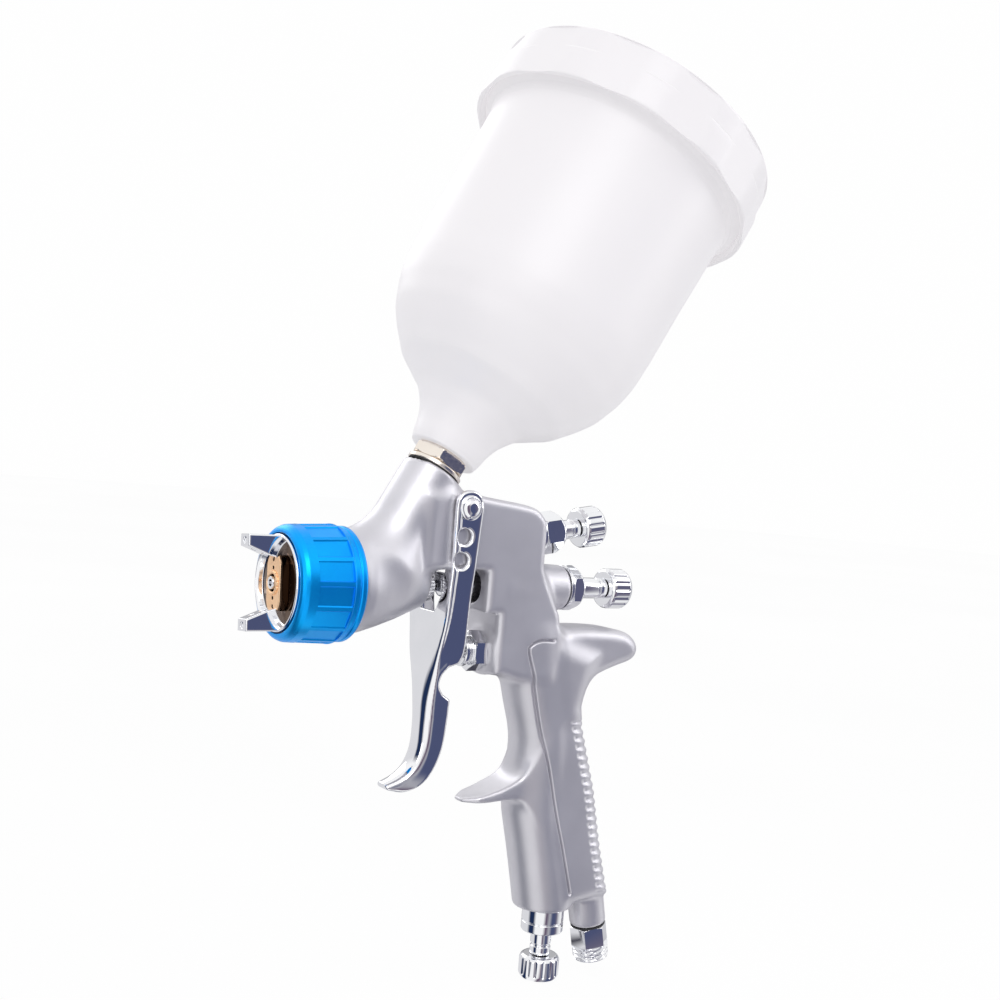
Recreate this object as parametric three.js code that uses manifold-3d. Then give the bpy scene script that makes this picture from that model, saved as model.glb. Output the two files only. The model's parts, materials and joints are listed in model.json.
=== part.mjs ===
// Gravity-feed HVLP paint spray gun, as an assembly of its separate pieces.
//
// Units are millimetres and +Z is up. Inside the "gun" group the frame is the gun's own:
// +X is the spraying direction along the needle axis (z = 0), +Y is the gun's left side, and
// x = 0 is the trigger's pivot. The exported group moves that frame so that its origin is the
// point where the hand holds the handle.

import * as THREE from 'three';
import { mergeVertices } from 'three/addons/utils/BufferGeometryUtils.js';
import Module from 'manifold-3d';

const wasm = await Module();
wasm.setup();

// ---------------------------------------------------------------- driving dimensions

const GAP = 0.3;                 // clearance between neighbouring pieces
const FINE = 32;                 // segments round a large turned piece
const COARSE = 16;               // segments round a small turned piece
const HEX = 6;

const GRIP_POINT = [-50, 0, -58];      // the middle of the handle, where the hand closes

const BODY_HALF_WIDTH = 10.5;    // housing and handle, across the gun
const BODY_ROUNDING = 3.2;       // rounding of the casting's outer edges
const BARREL_RADIUS = 16.2;      // barrel just behind the retaining ring
const BARREL_END = 38.2;         // x where the casting's shoulder meets the ring
const FRONT_THREAD_RADIUS = 16.8;
const FRONT_THREAD_END = 50;

const NEEDLE_RADIUS = 1.9;
const NEEDLE_TIP = 63.1;
const NEEDLE_REAR = -36;
const SPRING_BORE_RADIUS = 5.6;

const RING_REAR = 38.6;          // blue retaining ring, along x
const RING_FRONT = 61;
const RING_RADIUS = 19.1;
const RING_BORE_RADIUS = 17.2;
const RING_MOUTH_RADIUS = 15.8;
const RING_PAD_COUNT = 15;
const RING_PAD_DEPTH = 0.5;
const RING_TAPER = Math.atan2(0.7, 14.8);   // the lands close in towards the front

const CAP_RADIUS = 15.3;
const CAP_RIM = 61.7;
const CAP_FACE = 62.5;
const HORN_TIP = 72.4;
const CAP_TURN = THREE.MathUtils.degToRad(5);   // how far the cap is turned from upright

const PIVOT = [0, 0, 27];        // trigger pivot
const ARM_OUTER = 12.6;          // outer face of each trigger arm, from the middle plane
const ARM_THICKNESS = 1.5;

const CUP_TILT = THREE.MathUtils.degToRad(30);
const CUP_BASE = [8, 0, 37.8];   // centre of the boss that carries the cup
const CUP_BOSS_RADIUS = 10.2;
const CUP_TOP = 140.5;           // cup rim, along the cup axis
const LID_BOTTOM = 124.5;
const LID_TOP = 145.5;
const LID_RADIUS = 53.2;
const LID_WALL = 2.2;

const FLUID_BOSS_END = -47.8;    // rear end of the boss round the needle axis
const KNOB_RADIUS = 7.2;
const KNOB_FLUTES = 16;

const FAN_TILT = THREE.MathUtils.degToRad(8.9);
const FAN_BASE = [-34.8, 0, 18.3];     // where the fan valve enters the housing's rear face

const AIR_VALVE_Z = -22;
const AIR_VALVE_BOSS_RADIUS = 7.4;
const AIR_VALVE_BOSS_FACE = -16.6;

const CHEATER_BASE = [-52.7, 0, -114.3];   // where the lower air valve enters the handle
const HANDLE_BOTTOM = -114;         // foot of the handle's round front
const INLET_BASE = [-73.4, 0, -122.4];   // where the air connector enters the handle
const INLET_TILT = THREE.MathUtils.degToRad(12);

const LOOKS = {
  casting: { color: 0xb9bac4, metalness: 0.75, roughness: 0.42 },
  chrome: { color: 0xe4e6ea, metalness: 1, roughness: 0.08 },
  nickel: { color: 0xcfc8bb, metalness: 1, roughness: 0.22 },
  brass: { color: 0xd2a866, metalness: 1, roughness: 0.25 },
  steel: { color: 0xa8abb0, metalness: 1, roughness: 0.3 },
  blue: { color: 0x0a62c4, metalness: 0.85, roughness: 0.28 },
  poly: { color: 0xf4f4f2, metalness: 0, roughness: 0.4 },
  nylon: { color: 0xdfe3e6, metalness: 0, roughness: 0.5 },
  rubber: { color: 0x1d1d20, metalness: 0, roughness: 0.8 },
};

// ---------------------------------------------------------------- geometry helpers

/** A solid for booleans, from any closed three.js geometry. */
function solid(geometry) {
  const bare = geometry.clone();
  bare.deleteAttribute('normal');
  bare.deleteAttribute('uv');
  const merged = mergeVertices(bare, 1e-4);
  const index = merged.index.array;
  const kept = [];
  for (let i = 0; i < index.length; i += 3) {
    const [a, b, c] = index.slice(i, i + 3);
    if (a !== b && b !== c && c !== a) kept.push(a, b, c);
  }
  return new wasm.Manifold(new wasm.Mesh({
    numProp: 3,
    vertProperties: new Float32Array(merged.attributes.position.array),
    triVerts: new Uint32Array(kept),
  }));
}

/** A BufferGeometry of a solid. */
function geometryOf(shape) {
  const mesh = shape.simplify(0.04).getMesh();
  const geometry = new THREE.BufferGeometry();
  geometry.setAttribute('position', new THREE.BufferAttribute(mesh.vertProperties, 3));
  geometry.setIndex(new THREE.BufferAttribute(mesh.triVerts, 1));
  geometry.computeVertexNormals();
  return geometry;
}

function joined(...geometries) {
  return geometries.map(solid).reduce((whole, piece) => whole.add(piece));
}

function cut(whole, ...geometries) {
  return geometries.map(solid).reduce((rest, tool) => rest.subtract(tool), whole);
}

/** A turned piece: profile of [radius, height] pairs about +Y, from axis to axis or closed. */
function turned(profile, segments = COARSE) {
  const area = profile.reduce((sum, [r, h], i) => {
    const [nextR, nextH] = profile[(i + 1) % profile.length];
    return sum + r * nextH - nextR * h;
  }, 0);
  const ordered = area > 0 ? profile : [...profile].reverse();
  return new THREE.LatheGeometry(ordered.map(([r, h]) => new THREE.Vector2(r, h)), segments);
}

/** A tube section, closed on itself. */
function sleeve(inner, outer, from, to, segments = COARSE) {
  return turned([[inner, from], [outer, from], [outer, to], [inner, to], [inner, from]], segments);
}

/** A solid round bar along +Y. */
function bar(radius, from, to, segments = COARSE) {
  return turned([[0, from], [radius, from], [radius, to], [0, to]], segments);
}

/** The matrix that lays +Y along a direction and puts the origin at a point. */
function frameAt(origin, direction) {
  const turn = new THREE.Quaternion().setFromUnitVectors(
    new THREE.Vector3(0, 1, 0), new THREE.Vector3(...direction).normalize());
  return new THREE.Matrix4().compose(
    new THREE.Vector3(...origin), turn, new THREE.Vector3(1, 1, 1));
}

/** A side view in (x, z), extruded across the gun about its middle plane. */
function sideSlab(points, width, rounding = 0) {
  const shape = new THREE.Shape(points.map(([x, z]) => new THREE.Vector2(x, z)));
  const geometry = new THREE.ExtrudeGeometry(shape, {
    depth: width - 2 * rounding,
    bevelEnabled: rounding > 0,
    bevelThickness: rounding,
    bevelSize: rounding,
    bevelOffset: -rounding,
    bevelSegments: 2,
    curveSegments: 8,
  });
  geometry.translate(0, 0, rounding - width / 2);
  return geometry.rotateX(Math.PI / 2);
}

/** A front view in (y, z), extruded along x. */
function frontSlab(points, from, to) {
  const shape = new THREE.Shape(points.map(([y, z]) => new THREE.Vector2(y, z)));
  const geometry = new THREE.ExtrudeGeometry(shape, { depth: to - from, bevelEnabled: false });
  geometry.translate(0, 0, from);
  return geometry.applyMatrix4(new THREE.Matrix4().makeBasis(
    new THREE.Vector3(0, 1, 0), new THREE.Vector3(0, 0, 1), new THREE.Vector3(1, 0, 0)));
}

/** Points of a smooth open curve through the given ones. */
function smooth(points, count) {
  const curve = new THREE.SplineCurve(points.map(([x, z]) => new THREE.Vector2(x, z)));
  return curve.getPoints(count).map((p) => [p.x, p.y]);
}

/** A round wire wound about +Y between two heights. */
function coil(radius, wire, from, to, turns) {
  const steps = turns * 8;
  const points = [];
  for (let i = 0; i <= steps; i += 1) {
    const angle = (i / steps) * turns * 2 * Math.PI;
    const height = THREE.MathUtils.lerp(from + wire, to - wire, i / steps);
    points.push(new THREE.Vector3(radius * Math.cos(angle), height, radius * Math.sin(angle)));
  }
  const section = new THREE.Shape();
  section.absarc(0, 0, wire, 0, 2 * Math.PI);
  return new THREE.ExtrudeGeometry(section, {
    steps, curveSegments: 3, extrudePath: new THREE.CatmullRomCurve3(points),
  });
}

/** A round knob with straight flutes along +Y, with a smaller front edge and a blind bore. */
function flutedKnob(from, to, radius, bore, boreEnd) {
  const blank = solid(turned([
    [0, from], [radius - 0.6, from], [radius, from + 1.2], [radius, to - 1],
    [radius - 0.9, to], [0, to],
  ], KNOB_FLUTES * 2));
  const flutes = [];
  for (let i = 0; i < KNOB_FLUTES; i += 1) {
    const flute = bar(0.75, from - 1, to + 1, 5);
    flute.translate(radius + 0.25, 0, 0);
    flutes.push(flute.rotateY((i * 2 * Math.PI) / KNOB_FLUTES));
  }
  return geometryOf(cut(blank, ...flutes, bar(bore, from - 1, boreEnd)));
}

// ---------------------------------------------------------------- scene helpers

const model = new THREE.Group();
const gun = new THREE.Group();
gun.position.set(-GRIP_POINT[0], -GRIP_POINT[1], -GRIP_POINT[2]);
model.add(gun);

function axisGroup(origin, direction) {
  const group = new THREE.Group();
  frameAt(origin, direction).decompose(group.position, group.quaternion, group.scale);
  gun.add(group);
  return group;
}

const cupDirection = [-Math.sin(CUP_TILT), 0, Math.cos(CUP_TILT)];
const fanDirection = [-Math.cos(FAN_TILT), 0, Math.sin(FAN_TILT)];
const inletDirection = [-Math.sin(INLET_TILT), 0, -Math.cos(INLET_TILT)];

const needleAxis = axisGroup([0, 0, 0], [1, 0, 0]);
const airValveAxis = axisGroup([0, 0, AIR_VALVE_Z], [1, 0, 0]);
const cupAxis = axisGroup(CUP_BASE, cupDirection);
const fluidAxis = axisGroup([FLUID_BOSS_END, 0, 0], [-1, 0, 0]);
const fanAxis = axisGroup(FAN_BASE, fanDirection);
const cheaterAxis = axisGroup(CHEATER_BASE, [0, 0, -1]);
const inletAxis = axisGroup(INLET_BASE, inletDirection);
const pivotAxis = axisGroup(PIVOT, [0, 1, 0]);

function add(group, name, geometry, look) {
  const mesh = new THREE.Mesh(geometry, new THREE.MeshStandardMaterial(LOOKS[look]));
  mesh.name = name;
  group.add(mesh);
  return mesh;
}

// ---------------------------------------------------------------- the casting

/** The housing behind the cup boss, the bridge to the barrel and the trigger's ears. */
function housing() {
  const top = smooth([[14, 30], [2, 32], [-10, 30.6], [-25, 28.8], [-30.5, 27], [-34, 23.4]], 10);
  return sideSlab([
    ...top, [-34.2, 8], [-36.5, 2], [-42.5, -9], [-43.5, -24], [-40, -31], [-27, -31],
    [-20, -28.8], [-13, -28.8], [-6, -8], [14, 2],
  ], 2 * BODY_HALF_WIDTH, BODY_ROUNDING);
}

/** The round front of the handle, which holds the lower air valve, and the panel behind it. */
function handleFront() {
  const path = new THREE.CatmullRomCurve3([
    [-36.5, -18], [-38.1, -31], [-43, -47], [-44.2, -56], [-43.4, -66], [-43.2, -76],
    [-46.1, -88], [-49.6, -103], [-52.8, -119],
  ].map(([x, z]) => new THREE.Vector3(x, 0, z)));
  const section = new THREE.Shape();
  section.absarc(0, 0, BODY_HALF_WIDTH, 0, 2 * Math.PI);
  return new THREE.ExtrudeGeometry(section, { steps: 10, curveSegments: 20, extrudePath: path });
}

function handlePanel() {
  const back = smooth([[-74.4, -107], [-69.8, -91], [-65.1, -71], [-58.2, -50], [-54.4, -41]], 6);
  return sideSlab([[-46, -50], [-51, -85], [-56, -114.5], [-75.4, -112], ...back, [-52, -30],
    [-44, -30]], 2 * BODY_HALF_WIDTH - 0.6, 4);
}

function handRest() {
  const outline = smooth([
    [-42, -14], [-54, -13.4], [-67.5, -14.3], [-75.6, -16.6], [-79.2, -19.8], [-77, -23.2],
    [-68.5, -26.2], [-60, -29.8], [-55.6, -35.4], [-55, -44],
  ], 9);
  return sideSlab([...outline, [-44, -44]], 17, 3);
}

function fingerHook() {
  const outline = smooth([
    [-40, -57], [-35, -63.6], [-30.5, -66.7], [-24, -69.2], [-18, -70.8], [-11.4, -72],
    [-12.4, -73.2], [-20, -73.4], [-28, -72.8], [-34, -73.6], [-40, -79],
  ], 16);
  const plan = new THREE.Shape();
  plan.moveTo(-44, -8.2);
  plan.lineTo(-18.6, -6.9);
  plan.absarc(-18.4, 0, 6.8, -Math.PI / 2, Math.PI / 2);
  plan.lineTo(-44, 8.2);
  const planSlab = new THREE.ExtrudeGeometry(plan, {
    depth: 40, bevelEnabled: false, curveSegments: 6,
  });
  planSlab.translate(0, 0, -90);
  return solid(sideSlab(outline, 20)).intersect(solid(planSlab));
}

function barrel() {
  return turned([
    [0, 10], [7.2, 10], [9, 14.5], [11.4, 20.5], [13.9, 28], [15.6, 34],
    [BARREL_RADIUS, BARREL_END], [FRONT_THREAD_RADIUS - 1, BARREL_END],
    [FRONT_THREAD_RADIUS - 1, BARREL_END + 1], [FRONT_THREAD_RADIUS, BARREL_END + 1],
    [FRONT_THREAD_RADIUS, FRONT_THREAD_END], [0, FRONT_THREAD_END],
  ], FINE).applyMatrix4(frameAt([0, 0, 0], [1, 0, 0]));
}

function gunBody() {
  const cupFrame = frameAt(CUP_BASE, cupDirection);
  const fanFrame = frameAt(FAN_BASE, fanDirection);
  const inletFrame = frameAt(INLET_BASE, inletDirection);
  const cheaterFrame = frameAt(CHEATER_BASE, [0, 0, -1]);
  const needleFrame = frameAt([0, 0, 0], [1, 0, 0]);
  const airFrame = frameAt([0, 0, AIR_VALVE_Z], [1, 0, 0]);
  const pivotFrame = frameAt(PIVOT, [0, 1, 0]);
  const along = (frame, geometry) => geometry.applyMatrix4(frame);

  const casting = joined(
    housing(), handleFront(), handlePanel(), handRest(), barrel(),
    along(cupFrame, bar(CUP_BOSS_RADIUS, -32, 0, 32)),
    along(needleFrame, turned([[0, FLUID_BOSS_END], [7.9, FLUID_BOSS_END], [8.8, -34],
      [8.8, -20], [0, -20]], 24)),
    along(airFrame, bar(AIR_VALVE_BOSS_RADIUS, -36, AIR_VALVE_BOSS_FACE, 24)),
    along(inletFrame, bar(6.6, -24, 0, 24)),
  ).add(fingerHook());
  const cheaterTop = -22;
  const passageStart = [-54, 0, -100];
  const passageEnd = [-45, 0, AIR_VALVE_Z];
  const rise = passageEnd.map((v, i) => v - passageStart[i]);
  return cut(
    casting,
    // window between the barrel and the housing, which the trigger and the needle cross
    sideSlab([[9.9, -60], [9.9, 6.2], [-11, 6.2], [-11, -8.2], [AIR_VALVE_BOSS_FACE, -8.2],
      [AIR_VALVE_BOSS_FACE, -29.6], [-19.6, -36], [-19.6, -60]], 60),
    sideSlab([[-70, -125], [-30, -125], [-30, HANDLE_BOTTOM], [-64, HANDLE_BOTTOM]], 40),
    along(needleFrame, bar(6.6, 40.6, 60)),                       // nozzle thread
    along(needleFrame, bar(3.4, 14, 41)),                         // fluid passage
    along(needleFrame, bar(4.5, 8, 17.4)),                        // packing gland
    along(needleFrame, bar(SPRING_BORE_RADIUS, -48, -8)),         // needle spring
    along(needleFrame, bar(6.4, -60, -38)),                       // fluid control bush
    along(cupFrame, bar(3.6, -34, -14)),                          // paint inlet
    along(cupFrame, bar(7.3, -14.5, 4)),                          // adapter thread
    along(airFrame, bar(5.9, -57, -10)),                          // air valve
    along(cheaterFrame, bar(5.4, cheaterTop, 4)),                 // lower air valve
    along(inletFrame, bar(4.9, -18, 4)),                          // air connector
    along(frameAt([-70, 0, -108], [1, 0, 0]), bar(3, -1, 16, 10)),     // cross passage
    along(frameAt(passageStart, rise), bar(3, -2, 79, 10)),            // rising air passage
    along(fanFrame, bar(5.3, -18, 4)),                            // fan valve
    along(pivotFrame, bar(3.3, -20, 20)),                         // trigger pivot
  );
}

// ---------------------------------------------------------------- spray head

function fluidNozzle() {
  return turned([
    [3, 41], [6.3, 41], [6.3, 50.4], [7.2, 50.9], [7.2, 53.6], [9.2, 54.2], [9.2, 55.8],
    [5, 57.2], [2.4, 59.8], [1.9, 63.4], [1.1, 63.4], [1.6, 60], [3, 56.4], [3, 41],
  ]);
}

function airCap() {
  const local = (geometry) => geometry.applyMatrix4(new THREE.Matrix4().makeBasis(
    new THREE.Vector3(0, 1, 0), new THREE.Vector3(-1, 0, 0), new THREE.Vector3(0, 0, 1)));
  const hornOutline = [[59, 7.2], [CAP_FACE, 7.6], [HORN_TIP, 11.2], [HORN_TIP, 14.9], [59, 14.9]];
  const horns = [1, -1].map((side) => {
    const points = hornOutline.map(([x, z]) => [x, side * z]);
    return local(sideSlab(side > 0 ? points : points.reverse(), 6.4));
  });
  const barOutline = new THREE.Shape();
  barOutline.absarc(0, 5, 4.85, 0, Math.PI);
  barOutline.absarc(0, -5, 4.85, Math.PI, 2 * Math.PI);
  const middleBar = new THREE.ExtrudeGeometry(barOutline, {
    depth: CAP_FACE - 59, bevelEnabled: false, curveSegments: 5,
  });
  middleBar.applyMatrix4(new THREE.Matrix4().makeBasis(
    new THREE.Vector3(1, 0, 0), new THREE.Vector3(0, 0, -1), new THREE.Vector3(0, 1, 0)));
  middleBar.translate(0, 59, 0);
  const cover = solid(turned([
    [0, 53.4], [15, 53.4], [15, 57.2], [16.8, 57.2], [16.8, 58.5], [CAP_RADIUS, 58.5],
    [CAP_RADIUS, CAP_RIM], [14.6, CAP_RIM], [13.4, 59.4], [0, 59.4],
  ], FINE));
  const shape = horns.reduce((whole, horn) => whole.add(solid(horn)), cover)
    .add(solid(middleBar))
    .intersect(solid(bar(17, 50, 80, FINE)));
  const hollow = turned([[0, 50], [13.4, 50], [13.4, 56.4], [6.4, 57.6], [4, 60.9], [0, 60.9]], 24);
  const auxiliaryHoles = [4.4, -4.4].map((z) => {
    const hole = bar(0.5, 58, 66, 6);
    hole.translate(0, 0, z);
    return hole;
  });
  return geometryOf(cut(shape, hollow, bar(2.8, 60, 66), ...auxiliaryHoles));
}

function retainingRing() {
  const blank = solid(turned([
    [RING_BORE_RADIUS, RING_REAR], [18, RING_REAR], [18.5, RING_REAR + 1], [18.5, 43.2],
    [RING_RADIUS, 43.8], [18.4, 58.6], [17.6, 60.3], [16.8, RING_FRONT],
    [RING_MOUTH_RADIUS, RING_FRONT], [RING_MOUTH_RADIUS, 59.2], [RING_BORE_RADIUS, 59.2],
    [RING_BORE_RADIUS, RING_REAR],
  ], RING_PAD_COUNT * 2));
  const pads = [];
  for (let i = 0; i < RING_PAD_COUNT; i += 1) {
    const pad = new THREE.BoxGeometry(2, 12, 6.2);
    pad.rotateZ(RING_TAPER);
    pad.translate(RING_RADIUS - RING_PAD_DEPTH + 0.8, 49.6, 0);
    pads.push(pad.rotateY((i * 2 * Math.PI) / RING_PAD_COUNT));
  }
  return geometryOf(cut(blank, ...pads));
}

function buildSprayHead() {
  add(needleAxis, 'fluid_nozzle', fluidNozzle(), 'steel');
  add(needleAxis, 'baffle_ring', sleeve(7.5, 15, FRONT_THREAD_END + 0.6, 53), 'nylon');
  add(needleAxis, 'baffle_gasket', sleeve(8.2, 13.4, FRONT_THREAD_END + 0.1, 50.5), 'rubber');
  add(needleAxis, 'air_cap', airCap(), 'chrome').rotation.y = CAP_TURN;
  add(needleAxis, 'cap_seal_ring', sleeve(15.7, 16.9, 58.6, 59, FINE), 'nylon');
  add(needleAxis, 'retaining_ring', retainingRing(), 'blue');
}

// ---------------------------------------------------------------- needle and fluid control

function buildNeedle() {
  add(needleAxis, 'fluid_needle', turned([
    [0, NEEDLE_TIP], [0.45, NEEDLE_TIP - 0.2], [NEEDLE_RADIUS, 57], [NEEDLE_RADIUS, NEEDLE_REAR],
    [0, NEEDLE_REAR],
  ]), 'steel');
  add(needleAxis, 'needle_packing', sleeve(NEEDLE_RADIUS + GAP, 4.2, 13.2, 17), 'nylon');
  add(needleAxis, 'packing_nut', turned([
    [2.3, 6.2], [5.1, 6.2], [5.1, 9.6], [4, 9.6], [4, 12.8], [2.3, 12.8], [2.3, 6.2],
  ], 12), 'brass');
  add(needleAxis, 'needle_sleeve', sleeve(NEEDLE_RADIUS + 0.05, 3.6, -4.6, 1.8), 'chrome');
  add(needleAxis, 'needle_collar', turned([
    [NEEDLE_RADIUS + 0.05, -13.6], [3.6, -13.6], [3.6, -9.4], [5, -8.8], [5, -6.4], [4.4, -5],
    [NEEDLE_RADIUS + 0.05, -5], [NEEDLE_RADIUS + 0.05, -13.6],
  ]), 'brass');
  add(needleAxis, 'needle_spring', coil(3.6, 0.55, -42, -13.9, 7), 'steel');
}

// ---------------------------------------------------------------- screwed controls

/** A bush with a round collar, a cone-ended hexagon and a shank that screws into the casting. */
function controlBush(shankRadius, shankLength, hexRadius, head, bore) {
  const outside = joined(
    bar(shankRadius, -shankLength, 1),
    bar(hexRadius - 0.2, GAP, 2.4, 24),
    turned([[0, 2], [hexRadius, 2], [hexRadius, head - 2.4], [bore + 1.4, head], [0, head]], HEX),
  );
  return geometryOf(cut(outside, bar(bore, -shankLength - 1, head + 1)));
}

/** A stem with a cone at its inner end and a spigot that carries the knob. */
function controlStem(radius, innerEnd, knobStart) {
  return turned([
    [0, innerEnd], [radius - 1.6, innerEnd], [radius, innerEnd + 2.4],
    [radius, knobStart - 0.4], [2.1, knobStart - 0.4], [2.1, knobStart + 4.6], [0, knobStart + 4.6],
  ]);
}

/** Bush, stem, moving seal and knob of a screwed control, along the axis that leaves the gun. */
function buildScrewControl(group, name, size) {
  const { shankRadius, shankLength, hexRadius, head, stemRadius, innerEnd } = size;
  const { knobStart, knobEnd } = size;
  add(group, `${name}_bush`,
    controlBush(shankRadius, shankLength, hexRadius, head, stemRadius + GAP), 'chrome');
  add(group, `${name}_stem`, controlStem(stemRadius, innerEnd, knobStart), 'chrome');
  add(group, `${name}_knob`,
    flutedKnob(knobStart, knobEnd, KNOB_RADIUS, 2.4, knobStart + 5), 'chrome');
}

function buildFluidControl() {
  buildScrewControl(fluidAxis, 'fluid', {
    shankRadius: 6.1, shankLength: 3, hexRadius: 8, head: 7.6, stemRadius: 3.7,
    innerEnd: -4, knobStart: 19.5, knobEnd: 28.5,
  });
  add(fluidAxis, 'fluid_spring_seat', sleeve(2.3, 5.2, -5.6, -4.3), 'brass');
}

function buildFanControl() {
  buildScrewControl(fanAxis, 'fan', {
    shankRadius: 5, shankLength: 8, hexRadius: 7.5, head: 10.8, stemRadius: 3.4,
    innerEnd: -15, knobStart: 18.8, knobEnd: 27.7,
  });
  add(fanAxis, 'fan_stem_seal', sleeve(3.6, 4.9, -11.4, -10), 'rubber');
}

// ---------------------------------------------------------------- trigger and its pivot

/** The trigger: two arms beside the housing, a finger plate and two lugs that pull the needle. */
function trigger() {
  const rear = smooth([[-5.8, 27], [-4.6, 10], [-3.6, -4], [-4.6, -24]], 6);
  const finger = smooth([
    [-2.8, -36.5], [-2.6, -45], [-1.6, -54], [1, -61], [5, -66.3], [11, -68.6], [17.4, -67.4],
  ], 12);
  const front = smooth([
    [18.6, -65.4], [13.2, -63], [9.5, -59.6], [7.4, -54], [7, -46], [7.4, -36], [7.3, -24],
    [6.2, -12], [5.7, 0], [5.2, 10], [5.3, 20], [5.4, 27],
  ], 14);
  const crown = [[4.2, 31.2], [0, 32.8], [-4.2, 31.2]];
  const outline = [...rear, [2.6, -25.2], [3.4, -31], [2.6, -36], ...finger, ...front, ...crown];
  const inside = [
    [-12, 40], [9, 40], [9, 12], [3.9, 0], [4.4, -12], [5.5, -24], [5.6, -36], [5.2, -46],
    [5.6, -55], [7.6, -60.5], [6, -64.5], [3, -62], [-14, -58],
  ];
  const half = ARM_OUTER;
  const taper = [[half, 40], [half, 2], [9.6, -22], [5.5, -40], [5, -60], [3, -70], [3, -72]];
  const mirrored = (points) => [...points, ...points.map(([y, z]) => [-y, z]).reverse()];
  const inner = taper.map(([y, z]) => [y - ARM_THICKNESS, z]);
  const outer = solid(sideSlab(outline, 2 * half))
    .intersect(solid(frontSlab(mirrored(taper), -30, 40)));
  const lugs = [1, -1].map((side) => {
    const lug = new THREE.BoxGeometry(1.6, 9.3, 6.5);
    lug.translate(4.4, side * 6.95, 1.75);
    return solid(lug);
  });
  const hollow = solid(sideSlab(inside, 2 * half))
    .intersect(solid(frontSlab(mirrored(inner), -30, 40)));
  const saddle = frontSlab([[8, 9], [8, -1], [4.4, -8], [-4.4, -8], [-8, -1], [-8, 9]], -10, 20);
  const pinHole = bar(3.2, -20, 20).applyMatrix4(frameAt(PIVOT, [0, 1, 0]));
  const lighteningHoles = [[0.8, 17.5], [1.5, 9.6]].map(([x, z]) => (
    bar(2.5, -20, 20, 16).applyMatrix4(frameAt([x, 0, z], [0, 1, 0]))));
  const plate = cut(outer.subtract(hollow), saddle, pinHole, ...lighteningHoles);
  return geometryOf(plate.add(lugs[0]).add(lugs[1]));
}

function buildTrigger() {
  add(gun, 'trigger', trigger(), 'chrome');
  const face = ARM_OUTER + 0.35;
  add(pivotAxis, 'pivot_stud', turned([
    [0, -face - 2.1], [2.4, -face - 1.6], [4.1, -face], [2.9, -face], [2.9, ARM_OUTER],
    [1.9, ARM_OUTER], [1.9, 2], [0, 2],
  ]), 'chrome');
  add(pivotAxis, 'pivot_screw', turned([
    [0, 2.5], [1.6, 2.5], [1.6, face], [4.1, face], [2.4, face + 1.6], [0, face + 2.1],
  ]), 'chrome');
}

// ---------------------------------------------------------------- air valve behind the trigger

function buildAirValve() {
  const face = AIR_VALVE_BOSS_FACE + GAP;
  const shape = joined(
    bar(5.6, -34, face + 1), turned([[0, face], [7, face], [7, -11], [0, -11]], HEX),
    bar(5.2, -12, -7.8),
  );
  add(airValveAxis, 'air_valve_body', geometryOf(cut(shape, bar(2.1, -40, 0))), 'chrome');
  add(airValveAxis, 'air_valve_stem', turned([
    [0, -40.4], [1.6, -40.4], [1.6, 4], [1, 4.9], [0, 4.9],
  ]), 'steel');
  add(airValveAxis, 'air_valve_seal', sleeve(1.75, 4.4, -35.8, -34.3), 'rubber');
  add(airValveAxis, 'air_valve_poppet', sleeve(1.75, 4.9, -38.6, -36), 'brass');
  add(airValveAxis, 'air_valve_spring', coil(3.6, 0.5, -56.6, -39, 5), 'steel');
}

// ---------------------------------------------------------------- cup and lid

const CUP_OUTSIDE = [
  [11.4, 6.7], [12.4, 9.5], [14, 15.4], [17, 21], [21.4, 25.7], [26.7, 29.5], [32.8, 35],
  [38.2, 42], [42, 50], [44.6, 61], [46.4, 124], [50.5, 128],
];

function cup() {
  const outside = [...CUP_OUTSIDE, [50.5, CUP_TOP]];
  const inside = [
    [44.4, CUP_TOP], [42.6, 61.6], [38, 47], [33.6, 40.4], [25.4, 31.4],
    [17.4, 25], [11.6, 15.4], [8.3, 13.4], [8.3, 6.7],
  ];
  return turned([...outside, ...inside, CUP_OUTSIDE[0]], FINE);
}

function lid() {
  const middle = LID_BOTTOM + 11;
  const innerRadius = LID_RADIUS - LID_WALL;
  return turned([
    [2.6, LID_TOP], [50.6, LID_TOP], [52.3, LID_TOP - 1.7], [52.3, middle + 1],
    [LID_RADIUS, middle], [LID_RADIUS, LID_BOTTOM], [innerRadius, LID_BOTTOM],
    [innerRadius, LID_TOP - 2.6], [2.6, LID_TOP - 2.6], [2.6, LID_TOP],
  ], FINE);
}

function fluidAdapter() {
  const shape = joined(
    bar(7, -12, 1), bar(9.6, 0.5, 1.9, 24), bar(8.2, 1, 3),
    turned([[0, 2.2], [10.2, 2.2], [10.2, 6.3], [0, 6.3]], HEX), bar(7.9, 6, 13.1),
  );
  return geometryOf(cut(shape, bar(4.2, -14, 14)));
}

function buildCup() {
  add(cupAxis, 'adapter_seal', sleeve(7.4, 9.2, 0.08, 0.42, 24), 'rubber');
  add(cupAxis, 'fluid_adapter', fluidAdapter(), 'nickel');
  add(cupAxis, 'cup', cup(), 'poly');
  add(cupAxis, 'paint_strainer', turned([
    [0, 32], [5.5, 32], [6.4, 15], [8.9, 15], [8.9, 14], [5.6, 14], [4.8, 31.2], [0, 31.2],
  ]), 'nylon');
  add(cupAxis, 'lid_gasket', sleeve(45, 50.4, CUP_TOP + 0.3, LID_TOP - 2.9, FINE), 'nylon');
  add(cupAxis, 'lid', lid(), 'poly');
  add(cupAxis, 'vent_plug', turned([
    [0, LID_TOP - 4], [2.2, LID_TOP - 4], [2.2, LID_TOP + 0.4], [5, LID_TOP + 0.4],
    [5, LID_TOP + 1.8], [4.2, LID_TOP + 2.4], [0, LID_TOP + 2.4],
  ]), 'nylon');
}

// ---------------------------------------------------------------- foot of the handle

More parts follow.
